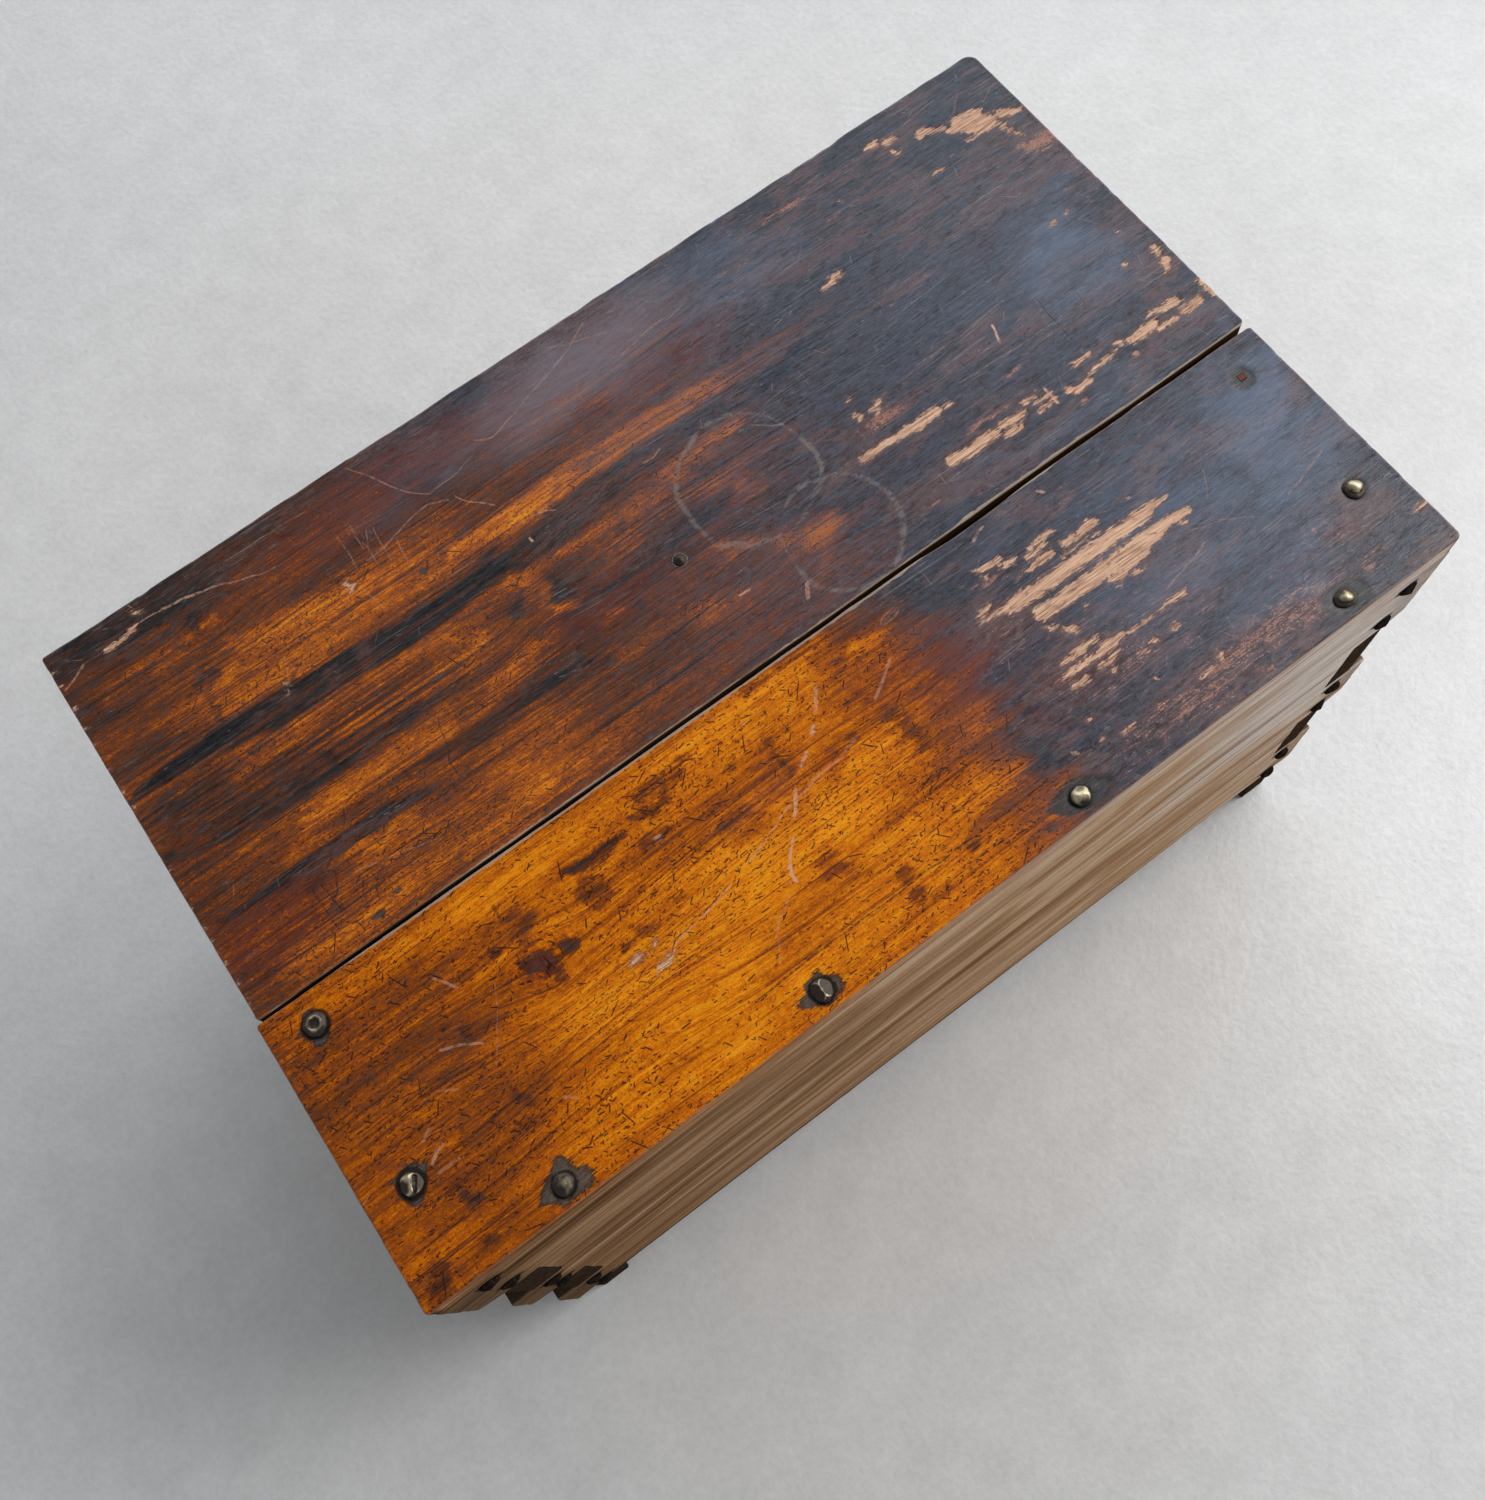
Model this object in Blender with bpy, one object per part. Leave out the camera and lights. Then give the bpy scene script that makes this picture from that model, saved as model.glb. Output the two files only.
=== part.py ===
"""Wooden storage chest with a fixed front top plank and a loose lid.

The front and back boards run past the side boards as tapered fingers, and each
finger is held by two forged dome nails.  The side boards stand inset between
them and run down past the bottom edge as feet.  Two floor boards sit in grooves
in the sides.  The top is a narrow plank nailed down along the front, and a wide
lid behind it that lifts straight off and is kept in place by two battens.

Metres, +Z up, the origin on the floor under the middle, the front towards -Y.
"""

import math

import bmesh
import bpy
from mathutils import Vector

# The chest's own sizes
LENGTH = 0.720
DEPTH = 0.456
WALL_HEIGHT = 0.419
FOOT_HEIGHT = 0.046
FRONT_THICKNESS = 0.024
SIDE_THICKNESS = 0.024
TOP_THICKNESS = 0.021

# Fingers of the front and back boards
FINGER_REACH = 0.016
TOP_FINGER = 0.100
MIDDLE_FINGER = 0.075
BOTTOM_FINGER = 0.082
FINGER_TOP_FALL = 0.006
FINGER_UNDER_RISE = 0.008

# Floor boards and the grooves that carry them
FLOOR_THICKNESS = 0.018
FLOOR_RISE = 0.006
FLOOR_SEAM = 0.0008
GROOVE_DEPTH = 0.007

# Top plank, lid and lid battens; the plank is a little narrower at its right end
PLANK_DEPTH = 0.1827
PLANK_TAPER = 0.0015
LID_GAP = 0.0013
BATTEN_WIDTH = 0.034
BATTEN_THICKNESS = 0.018
BATTEN_CLEARANCE = 0.004

# Worn edges and corners
EDGE_WEAR = 0.0014
PLAN_CORNER = 0.0022
LID_WORN_CORNER = 0.007

# Forged nails: head radius, dome height, shank side at the head and at the tip
NAIL_HEAD_RADIUS = 0.0066
NAIL_DOME = 0.0042
NAIL_SHANK = 0.0044
NAIL_TIP = 0.0016
TOP_NAIL_LENGTH = 0.054
WALL_NAIL_LENGTH = 0.049
SMALL_HEAD_RADIUS = 0.0042
SMALL_DOME = 0.0018
SMALL_SHANK = 0.0026
LID_NAIL_LENGTH = 0.015
BATTEN_NAIL_LENGTH = 0.030
HOLE_CLEARANCE = 0.0003
HOLE_EXTRA_DEPTH = 0.001
IMPRINT_DEPTH = 0.0008

# Where the nails stand; a finger's pair is given from its lower and its upper edge
BOTTOM_FINGER_NAILS = (0.013, 0.017)
MIDDLE_FINGER_NAILS = (0.020, 0.015)
TOP_FINGER_NAILS = (0.028, 0.018)
TOP_NAIL_FROM_LEFT = 0.094
TOP_NAIL_FROM_RIGHT = 0.080
TOP_NAIL_STEPS = (0.0, 0.31, 0.64, 1.0)
SIDE_NAIL_FROM_FRONT = 0.060
LEFT_NAIL_FROM_PLANK_BACK = 0.0195
RIGHT_NAIL_FROM_PLANK_BACK = 0.0245
LID_NAIL_X = -0.012
LID_NAIL_FROM_EDGE = 0.085
BATTEN_NAIL_FROM_END = 0.030
BATTEN_NAILS = 3

# Gap that every seat keeps
SEAT = 0.0003

RING_POINTS = 16
SHARP_ANGLE = math.radians(35)

# Planes and lines that several pieces share
HALF_LENGTH = LENGTH / 2
HALF_DEPTH = DEPTH / 2
WALL_TOP = FOOT_HEIGHT + WALL_HEIGHT
TOP_LOW = WALL_TOP + SEAT
TOP_HIGH = TOP_LOW + TOP_THICKNESS
SIDE_OUTER = HALF_LENGTH - FINGER_REACH
SIDE_INNER = SIDE_OUTER - SIDE_THICKNESS
SIDE_MIDDLE = (SIDE_OUTER + SIDE_INNER) / 2
WALL_INNER = HALF_DEPTH - FRONT_THICKNESS
SIDE_FINGER = (WALL_HEIGHT - TOP_FINGER - MIDDLE_FINGER - BOTTOM_FINGER) / 2
FLOOR_LOW = FOOT_HEIGHT + FLOOR_RISE
FLOOR_HIGH = FLOOR_LOW + FLOOR_THICKNESS
PLANK_BACK_LEFT = PLANK_DEPTH - HALF_DEPTH
PLANK_BACK_RIGHT = PLANK_BACK_LEFT - PLANK_TAPER
LID_FRONT = max(PLANK_BACK_LEFT, PLANK_BACK_RIGHT) + LID_GAP

WOODS = {
    "honey": (0.46, 0.17, 0.035),
    "dark": (0.10, 0.055, 0.035),
    "taupe": (0.27, 0.19, 0.13),
    "raw": (0.42, 0.29, 0.17),
}
IRON = (0.10, 0.085, 0.07)


def clear_scene():
    """Remove whatever the file holds."""
    for old in list(bpy.data.objects):
        bpy.data.objects.remove(old, do_unlink=True)


def material(name, colour, roughness, metallic=0.0):
    """A plain Principled material with this colour and finish."""
    made = bpy.data.materials.new(name)
    made.use_nodes = True
    shader = made.node_tree.nodes["Principled BSDF"]
    shader.inputs["Base Color"].default_value = (*colour, 1.0)
    shader.inputs["Roughness"].default_value = roughness
    shader.inputs["Metallic"].default_value = metallic
    return made


def add_object(name, mesh, finish, parent=None, location=(0, 0, 0)):
    """Link a mesh as a named object, measured from its parent."""
    if finish is not None and not mesh.materials:
        mesh.materials.append(finish)
    made = bpy.data.objects.new(name, mesh)
    bpy.context.collection.objects.link(made)
    made.parent = parent
    made.location = location
    return made


def mesh_from(bm, name):
    """Close a bmesh into a mesh with its faces pointing out."""
    bmesh.ops.recalc_face_normals(bm, faces=bm.faces)
    mesh = bpy.data.meshes.new(name)
    bm.to_mesh(mesh)
    bm.free()
    return mesh


def extruded(name, outline, sweep):
    """A board: a flat outline swept along one straight line."""
    bm = bmesh.new()
    face = bm.faces.new([bm.verts.new(point) for point in outline])
    grown = bmesh.ops.extrude_face_region(bm, geom=[face])
    moved = [item for item in grown["geom"] if isinstance(item, bmesh.types.BMVert)]
    bmesh.ops.translate(bm, verts=moved, vec=sweep)
    return mesh_from(bm, name)


def rounded_corner(before, corner, after, radius, steps=4):
    """The points of an arc that replaces one corner of a flat outline."""
    to_before = (before - corner).normalized()
    to_after = (after - corner).normalized()
    half_angle = to_before.angle(to_after) / 2
    centre_way = (to_before + to_after).normalized()
    centre = corner + centre_way * (radius / math.sin(half_angle))
    start = corner + to_before * (radius / math.tan(half_angle)) - centre
    end = corner + to_after * (radius / math.tan(half_angle)) - centre
    turn = start.angle(end)
    points = []
    for step in range(steps + 1):
        share = step / steps
        near = math.sin((1 - share) * turn) / math.sin(turn)
        far = math.sin(share * turn) / math.sin(turn)
        points.append(centre + start * near + end * far)
    return points


def rounded_outline(corners, radii):
    """A flat outline whose corners are arcs of the given radii."""
    count = len(corners)
    points = []
    for index in range(count):
        before = corners[index - 1]
        after = corners[(index + 1) % count]
        points += rounded_corner(before, corners[index], after, radii[index])
    return points


def wear_edges(board, width=EDGE_WEAR):
    """Round the arrises of a board a little."""
    wear = board.modifiers.new("worn_edges", "BEVEL")
    wear.width = width
    wear.segments = 2
    wear.limit_method = "ANGLE"
    wear.angle_limit = math.radians(30)


def cut(board, cutter):
    """Take a cutter's volume out of a board."""
    hole = board.modifiers.new("cut_" + cutter.name, "BOOLEAN")
    hole.operation = "DIFFERENCE"
    hole.solver = "EXACT"
    hole.object = cutter


def front_fingers():
    """Lower and upper height of each finger, from the bottom one up."""
    bottom = (FOOT_HEIGHT, FOOT_HEIGHT + BOTTOM_FINGER)
    middle_low = bottom[1] + SIDE_FINGER
    middle = (middle_low, middle_low + MIDDLE_FINGER)
    top = (WALL_TOP - TOP_FINGER, WALL_TOP)
    return [bottom, middle, top]


def finger_outline():
    """One end of a front board, as (distance from the middle, height)."""
    fingers = front_fingers()
    notch = SIDE_INNER - SEAT
    points = []
    for index, (low, high) in enumerate(fingers):
        if index > 0:
            points += [(notch, low), (SIDE_OUTER, low)]
            points.append((HALF_LENGTH, low + FINGER_UNDER_RISE))
        else:
            points.append((HALF_LENGTH, low))
        if index < len(fingers) - 1:
            points.append((HALF_LENGTH, high - FINGER_TOP_FALL))
            points += [(SIDE_OUTER, high), (notch, high)]
        else:
            points.append((HALF_LENGTH, high))
    return points


def make_wall(name, outer_y, inner_y, finish):
    """The front or back board, with its fingers at both ends."""
    end = finger_outline()
    outline = [Vector((across, outer_y, height)) for across, height in end]
    outline += [Vector((-across, outer_y, height)) for across, height in reversed(end)]
    mesh = extruded(name, outline, Vector((0, inner_y - outer_y, 0)))
    board = add_object(name, mesh, finish)
    wear_edges(board)
    return board


def side_outline():
    """Half of a side board's outline, as (distance from the middle, height)."""
    shoulder = WALL_INNER - SEAT
    bottom, middle, top = front_fingers()
    points = [(HALF_DEPTH, 0.0), (HALF_DEPTH, bottom[0] - SEAT), (shoulder, bottom[0] - SEAT)]
    for below, above in ((bottom, middle), (middle, top)):
        low = below[1] + SEAT
        high = above[0] - SEAT
        points += [(shoulder, low), (HALF_DEPTH, low), (HALF_DEPTH, high), (shoulder, high)]
    points.append((shoulder, WALL_TOP))
    return points


def make_side(name, side, finish):
    """A side board with its fingers, feet and the floor groove."""
    half = side_outline()
    inner = side * SIDE_INNER
    outline = [Vector((inner, across, height)) for across, height in half]
    outline += [Vector((inner, -across, height)) for across, height in reversed(half)]
    mesh = extruded(name, outline, Vector((side * SIDE_THICKNESS, 0, 0)))
    board = add_object(name, mesh, finish)
    wear_edges(board)
    return board


def box_cutter(name, low, high):
    """A plain box that cuts and isn't built."""
    outline = [
        Vector((low[0], low[1], low[2])),
        Vector((high[0], low[1], low[2])),
        Vector((high[0], high[1], low[2])),
        Vector((low[0], high[1], low[2])),
    ]
    return as_cutter(extruded(name, outline, Vector((0, 0, high[2] - low[2]))))


def as_cutter(mesh):
    """Link a mesh as a hidden cutter."""
    cutter = add_object(mesh.name, mesh, None)
    cutter.hide_render = True
    cutter.display_type = "WIRE"
    return cutter


def cut_groove(board, side):
    """The groove along a side board's inner face that the floor sits in."""
    reach = SIDE_INNER + GROOVE_DEPTH
    inside = SIDE_INNER - GROOVE_DEPTH
    x_low = min(side * reach, side * inside)
    x_high = max(side * reach, side * inside)
    low = (x_low, -HALF_DEPTH, FLOOR_LOW - SEAT)
    high = (x_high, HALF_DEPTH, FLOOR_HIGH + SEAT)
    cut(board, box_cutter(board.name + "_groove", low, high))


def make_floor_board(name, near_y, far_y, finish):
    """One floor board, its ends housed in the side grooves."""
    reach = SIDE_INNER + GROOVE_DEPTH - SEAT
    outline = [
        Vector((-reach, near_y, FLOOR_LOW)),
        Vector((reach, near_y, FLOOR_LOW)),
        Vector((reach, far_y, FLOOR_LOW)),
        Vector((-reach, far_y, FLOOR_LOW)),
    ]
    mesh = extruded(name, outline, Vector((0, 0, FLOOR_THICKNESS)))
    board = add_object(name, mesh, finish)
    wear_edges(board, EDGE_WEAR / 2)


def make_top_plank(finish):
    """The narrow front board of the top, nailed to the walls."""
    corners = [
        Vector((-HALF_LENGTH, -HALF_DEPTH, TOP_LOW)),
        Vector((HALF_LENGTH, -HALF_DEPTH, TOP_LOW)),
        Vector((HALF_LENGTH, PLANK_BACK_RIGHT, TOP_LOW)),
        Vector((-HALF_LENGTH, PLANK_BACK_LEFT, TOP_LOW)),
    ]
    outline = rounded_outline(corners, [PLAN_CORNER] * 4)
    mesh = extruded("top_plank", outline, Vector((0, 0, TOP_THICKNESS)))
    plank = add_object("top_plank", mesh, finish)
    wear_edges(plank)
    return plank


def make_lid(parent, finish):
    """The wide lid board, its back right corner worn rounder."""
    low = TOP_LOW - parent.location.z
    corners = [
        Vector((-HALF_LENGTH, LID_FRONT - parent.location.y, low)),
        Vector((HALF_LENGTH, LID_FRONT - parent.location.y, low)),
        Vector((HALF_LENGTH, HALF_DEPTH - parent.location.y, low)),
        Vector((-HALF_LENGTH, HALF_DEPTH - parent.location.y, low)),
    ]
    radii = [PLAN_CORNER, PLAN_CORNER, LID_WORN_CORNER, PLAN_CORNER]
    outline = rounded_outline(corners, radii)
    mesh = extruded("lid_board", outline, Vector((0, 0, TOP_THICKNESS)))
    lid = add_object("lid_board", mesh, finish, parent)
    wear_edges(lid)
    return lid


def batten_span():
    """Front and back end of a lid batten, inside the mouth."""
    front = LID_FRONT + BATTEN_CLEARANCE
    back = WALL_INNER - BATTEN_CLEARANCE
    return front, back


def make_batten(name, side, parent, finish):
    """A batten under the lid that drops inside a side board."""
    outer = SIDE_INNER - BATTEN_CLEARANCE
    inner = outer - BATTEN_WIDTH
    front, back = batten_span()
    high = TOP_LOW - SEAT
    outline = [
        Vector((side * inner, front, high - BATTEN_THICKNESS)) - parent.location,
        Vector((side * outer, front, high - BATTEN_THICKNESS)) - parent.location,
        Vector((side * outer, back, high - BATTEN_THICKNESS)) - parent.location,
        Vector((side * inner, back, high - BATTEN_THICKNESS)) - parent.location,
    ]
    mesh = extruded(name, outline, Vector((0, 0, BATTEN_THICKNESS)))
    batten = add_object(name, mesh, finish, parent)
    wear_edges(batten)
    return batten


def circle_ring(radius, height):
    """A ring of points round the nail's axis."""
    ring = []
    for index in range(RING_POINTS):
        angle = 2 * math.pi * index / RING_POINTS
        ring.append(Vector((radius * math.cos(angle), radius * math.sin(angle), height)))
    return ring


def square_ring(side, height):
    """As many points as a circle ring has, laid round a square."""
    ring = []
    for point in circle_ring(1.0, height):
        scale = side / 2 / max(abs(point.x), abs(point.y))
        ring.append(Vector((point.x * scale, point.y * scale, height)))
    return ring


def loft(name, rings, apex=None):
    """A closed skin through the rings, ending flat or in one point."""
    bm = bmesh.new()
    loops = [[bm.verts.new(point) for point in ring] for ring in rings]
    for below, above in zip(loops, loops[1:]):
        for index in range(RING_POINTS):
            after = (index + 1) % RING_POINTS
            bm.faces.new((below[index], below[after], above[after], above[index]))
    bm.faces.new(list(reversed(loops[0])))
    if apex is None:
        bm.faces.new(loops[-1])
    else:
        tip = bm.verts.new(apex)
        for index in range(RING_POINTS):
            bm.faces.new((loops[-1][index], loops[-1][(index + 1) % RING_POINTS], tip))
    mesh = mesh_from(bm, name)
    mesh.shade_smooth()
    mesh.set_sharp_from_angle(angle=SHARP_ANGLE)
    return mesh


def nail_mesh(name, length, head_radius, dome, shank):
    """A domed head over a square tapered shank, seated just above z = 0."""
    tip_side = min(NAIL_TIP, shank)
    rings = [square_ring(tip_side, -length), square_ring(shank, SEAT)]
    rings.append(circle_ring(head_radius, SEAT))
    for share in (0.25, 0.5, 0.78):
        radius = head_radius * math.sqrt(1 - share * share)
        rings.append(circle_ring(radius, SEAT + dome * share))
    return loft(name, rings, Vector((0, 0, SEAT + dome)))


def stub_mesh(name, length, shank):
    """A nail whose head has broken off, level with the wood."""
    tip_side = min(NAIL_TIP, shank)
    return loft(name, [square_ring(tip_side, -length), square_ring(shank, -SEAT)])


def place(name, mesh, finish, point, direction, parent=None):
    """Put a nail with its head at a point, facing along a direction."""
    offset = Vector((0, 0, 0)) if parent is None else parent.location
    nail = add_object(name, mesh, finish, parent, Vector(point) - offset)
    nail.rotation_mode = "QUATERNION"
    nail.rotation_quaternion = Vector((0, 0, 1)).rotation_difference(Vector(direction))
    return nail


def hole_cutter(name, places, length, shank):
    """One cutter with a tapered square hole at each nail's place."""
    bm = bmesh.new()
    tip_side = min(NAIL_TIP, shank) + 2 * HOLE_CLEARANCE
    mouth_side = shank + 2 * HOLE_CLEARANCE
    for point, direction in places:
        turn = Vector((0, 0, 1)).rotation_difference(Vector(direction))
        corners = []
        for side, height in ((tip_side, -length - HOLE_EXTRA_DEPTH), (mouth_side, HOLE_EXTRA_DEPTH)):
            half = side / 2
            for x, y in ((-half, -half), (half, -half), (half, half), (-half, half)):
                corners.append(bm.verts.new(turn @ Vector((x, y, height)) + Vector(point)))
        low, high = corners[:4], corners[4:]
        bm.faces.new(list(reversed(low)))
        bm.faces.new(high)
        for index in range(4):
            after = (index + 1) % 4
            bm.faces.new((low[index], low[after], high[after], high[index]))
    return as_cutter(mesh_from(bm, name))


def wall_nail_places(side, facing):
    """Nails through the fingers of one end of the front or back board."""
    insets = (BOTTOM_FINGER_NAILS, MIDDLE_FINGER_NAILS, TOP_FINGER_NAILS)
    places = []
    for (low, high), (from_low, from_high) in zip(front_fingers(), insets):
        for height in (low + from_low, high - from_high):
            point = (side * SIDE_MIDDLE, facing * HALF_DEPTH, height)
            places.append((point, (0, facing, 0)))
    return places


def top_nail_places():
    """Nails through the top plank: its front row, then the two ends."""
    first = TOP_NAIL_FROM_LEFT - HALF_LENGTH
    last = HALF_LENGTH - TOP_NAIL_FROM_RIGHT
    row_y = (-HALF_DEPTH - WALL_INNER) / 2
    front = [(first + (last - first) * step, row_y, TOP_HIGH) for step in TOP_NAIL_STEPS]
    near = SIDE_NAIL_FROM_FRONT - HALF_DEPTH
    left_far = PLANK_BACK_LEFT - LEFT_NAIL_FROM_PLANK_BACK
    right_far = PLANK_BACK_RIGHT - RIGHT_NAIL_FROM_PLANK_BACK
    left = [(-SIDE_MIDDLE, y, TOP_HIGH) for y in (near, left_far)]
    right = [(SIDE_MIDDLE, y, TOP_HIGH) for y in (near, right_far)]
    return front, left, right


def batten_nail_places(side):
    """Nails driven up through one lid batten."""
    front, back = batten_span()
    first = front + BATTEN_NAIL_FROM_END
    step = (back - front - 2 * BATTEN_NAIL_FROM_END) / (BATTEN_NAILS - 1)
    x = side * (SIDE_INNER - BATTEN_CLEARANCE - BATTEN_WIDTH / 2)
    z = TOP_LOW - SEAT - BATTEN_THICKNESS
    return [((x, first + step * index, z), (0, 0, -1)) for index in range(BATTEN_NAILS)]


def imprint_cutter(place_point):
    """The round dish that the lost nail head left in the plank."""
    centre = Vector(place_point)
    floor_ring = circle_ring(NAIL_HEAD_RADIUS * 0.8, -IMPRINT_DEPTH)
    rim_ring = circle_ring(NAIL_HEAD_RADIUS, HOLE_EXTRA_DEPTH)
    rings = [[centre + point for point in ring] for ring in (floor_ring, rim_ring)]
    return as_cutter(loft("lost_head_imprint", rings))


def build():
    """Make the whole chest."""
    clear_scene()

    walls = {
        "front": make_wall("front_board", -HALF_DEPTH, -WALL_INNER, material("front_wood", WOODS["taupe"], 0.6)),
        "back": make_wall("back_board", HALF_DEPTH, WALL_INNER, material("back_wood", WOODS["taupe"], 0.6)),
    }
    sides = {}
    for name, side in (("left", -1), ("right", 1)):
        sides[name] = make_side("side_board_" + name, side, material(name + "_wood", WOODS["taupe"], 0.6))
        cut_groove(sides[name], side)
    raw = material("floor_wood", WOODS["raw"], 0.7)
    floor_edge = WALL_INNER - SEAT
    make_floor_board("bottom_board_front", -floor_edge, -FLOOR_SEAM / 2, raw)
    make_floor_board("bottom_board_back", FLOOR_SEAM / 2, floor_edge, raw)
    plank = make_top_plank(material("plank_wood", WOODS["honey"], 0.35))

    lid_lift = bpy.data.objects.new("lid_lift", None)
    bpy.context.collection.objects.link(lid_lift)
    lid_lift.location = (0, (LID_FRONT + HALF_DEPTH) / 2, TOP_LOW)
    lid = make_lid(lid_lift, material("lid_wood", WOODS["dark"], 0.35))
    battens = {}
    batten_wood = material("batten_wood", WOODS["raw"], 0.7)
    for name, side in (("left", -1), ("right", 1)):
        battens[name] = make_batten("lid_batten_" + name, side, lid_lift, batten_wood)

    iron = material("forged_iron", IRON, 0.4, 0.8)
    wall_nail = nail_mesh("wall_nail", WALL_NAIL_LENGTH, NAIL_HEAD_RADIUS, NAIL_DOME, NAIL_SHANK)
    for wall, facing in (("front", -1), ("back", 1)):
        for name, side in (("left", -1), ("right", 1)):
            places = wall_nail_places(side, facing)
            for index, (point, direction) in enumerate(places):
                place(f"{wall}_nail_{name}_{index + 1}", wall_nail, iron, point, direction)
            holes = hole_cutter(f"{wall}_{name}_holes", places, WALL_NAIL_LENGTH, NAIL_SHANK)
            cut(walls[wall], holes)
            cut(sides[name], holes)

    up = (0, 0, 1)
    front_row, left_pair, right_pair = top_nail_places()
    top_nail = nail_mesh("top_nail", TOP_NAIL_LENGTH, NAIL_HEAD_RADIUS, NAIL_DOME, NAIL_SHANK)
    for index, point in enumerate(front_row):
        place(f"top_nail_front_{index + 1}", top_nail, iron, point, up)
    for index, point in enumerate(left_pair):
        place(f"top_nail_left_{index + 1}", top_nail, iron, point, up)
    place("top_nail_right_1", top_nail, iron, right_pair[0], up)
    stub = stub_mesh("broken_nail", TOP_NAIL_LENGTH, NAIL_SHANK)
    place("top_nail_right_2", stub, iron, right_pair[1], up)
    rows = (
        ("front", front_row, walls["front"]),
        ("left", left_pair, sides["left"]),
        ("right", right_pair, sides["right"]),
    )
    for name, points, carrier in rows:
        places = [(point, up) for point in points]
        holes = hole_cutter("top_" + name + "_holes", places, TOP_NAIL_LENGTH, NAIL_SHANK)
        cut(plank, holes)
        cut(carrier, holes)
    cut(plank, imprint_cutter(right_pair[1]))

    lid_nail_point = (LID_NAIL_X, LID_FRONT + LID_NAIL_FROM_EDGE, TOP_HIGH)
    lid_nail = nail_mesh("lid_nail", LID_NAIL_LENGTH, SMALL_HEAD_RADIUS, SMALL_DOME, SMALL_SHANK)
    place("lid_nail", lid_nail, iron, lid_nail_point, up, lid_lift)
    cut_in_lid = [hole_cutter("lid_nail_hole", [(lid_nail_point, up)], LID_NAIL_LENGTH, SMALL_SHANK)]
    batten_nail = nail_mesh("batten_nail", BATTEN_NAIL_LENGTH, SMALL_HEAD_RADIUS, SMALL_DOME, SMALL_SHANK)
    for name, side in (("left", -1), ("right", 1)):
        places = batten_nail_places(side)
        for index, (point, direction) in enumerate(places):
            place(f"batten_nail_{name}_{index + 1}", batten_nail, iron, point, direction, lid_lift)
        holes = hole_cutter("batten_" + name + "_holes", places, BATTEN_NAIL_LENGTH, SMALL_SHANK)
        cut(battens[name], holes)
        cut_in_lid.append(holes)
    for holes in cut_in_lid:
        cut(lid, holes)


build()
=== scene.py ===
"""Looks of the wooden storage chest: worn boards, forged nails, floor, light and camera.

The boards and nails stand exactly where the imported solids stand.  The wear of the
two top boards is painted in millimetres, x along the front and y from front to back,
with the same origin as the chest.
"""

import math
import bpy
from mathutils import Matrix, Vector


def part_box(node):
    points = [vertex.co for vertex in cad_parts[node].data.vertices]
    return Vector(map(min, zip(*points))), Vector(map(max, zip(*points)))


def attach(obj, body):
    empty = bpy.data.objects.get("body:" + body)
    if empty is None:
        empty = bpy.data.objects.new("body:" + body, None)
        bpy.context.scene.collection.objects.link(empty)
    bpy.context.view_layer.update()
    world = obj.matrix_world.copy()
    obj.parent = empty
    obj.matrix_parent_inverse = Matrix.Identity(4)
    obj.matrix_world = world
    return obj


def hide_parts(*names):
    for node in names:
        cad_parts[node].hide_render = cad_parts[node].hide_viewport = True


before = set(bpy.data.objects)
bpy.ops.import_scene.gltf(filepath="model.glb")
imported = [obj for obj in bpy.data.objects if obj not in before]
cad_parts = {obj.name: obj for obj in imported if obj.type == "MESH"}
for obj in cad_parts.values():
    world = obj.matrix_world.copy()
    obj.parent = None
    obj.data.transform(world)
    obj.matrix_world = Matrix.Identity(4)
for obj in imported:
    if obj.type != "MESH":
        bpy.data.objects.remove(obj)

from types import SimpleNamespace

import bpy
import numpy as np
from mathutils import Matrix, Vector

MM = 0.001

# The camera, from the perspective of the photograph
PICTURE_WIDTH = 1485
PICTURE_HEIGHT = 1500
FOCAL_PIXELS = 1613.0
CENTRE_PIXEL = (749.7, 636.9)
CAMERA_PLACE = (-0.152, -0.3452, 1.3707)
CAMERA_RIGHT = (0.808398, -0.583302, -0.079069)
CAMERA_DOWN = (-0.568763, -0.739416, -0.36024)
CAMERA_FORWARD = (0.151664, 0.336189, -0.929503)
SENSOR = 36.0

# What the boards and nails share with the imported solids, in metres
SEAT = 0.0003
HOLE_SIDE = 0.0050
FINGER_TOP_FALL = 0.006
FINGER_UNDER_RISE = 0.008
FINGER_EDGES = ((0.046, 0.128), (0.209, 0.284), (0.365, 0.465))
SIDE_OUTER = 0.344
SIDE_INNER = 0.320
PLAN_CORNER = 0.0022
NAIL_DOME = 0.0042
NAIL_SHANK = 0.0044
NAIL_TIP = 0.0016
SMALL_DOME = 0.0018
SMALL_SHANK = 0.0026

# Places on the top, in millimetres
HALF_LENGTH = 360
END_START = 352
LID_FRONT = -44.0
PLANK_BACK_LEFT = -45.3
PLANK_TAPER = 1.5
GAP_MIDDLE = -45.0

# A distance that counts as far from every mark, in millimetres
FAR = 9.0

# How deep the change from face to wall reaches, in metres
WALL_BLEND = 0.0004
BOARD_SHARP_ANGLE = math.radians(38)
# Grid steps of the top boards and of the front and back board, and their wall rows, in metres
TOP_STEP = (0.0018, 0.00145)
TOP_ROWS = (0.0042, 0.0085, 0.0130, 0.0170)
WALL_STEP = (0.0036, 0.0017)
WALL_ROWS = (0.0045, 0.0100, 0.0170)
LAST_ROW = 0.0008


# Small mathematics on arrays

# Large odd numbers that scatter whole numbers over 32 bits
SCATTER = (374761393, 668265263, 974634777)
SCATTER_AGAIN = 1274126177
BITS_32 = 0xFFFFFFFF


def ease(value):
    """0 below 0, 1 above 1, smooth between."""
    held = np.clip(value, 0.0, 1.0)
    return held * held * (3 - 2 * held)


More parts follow.
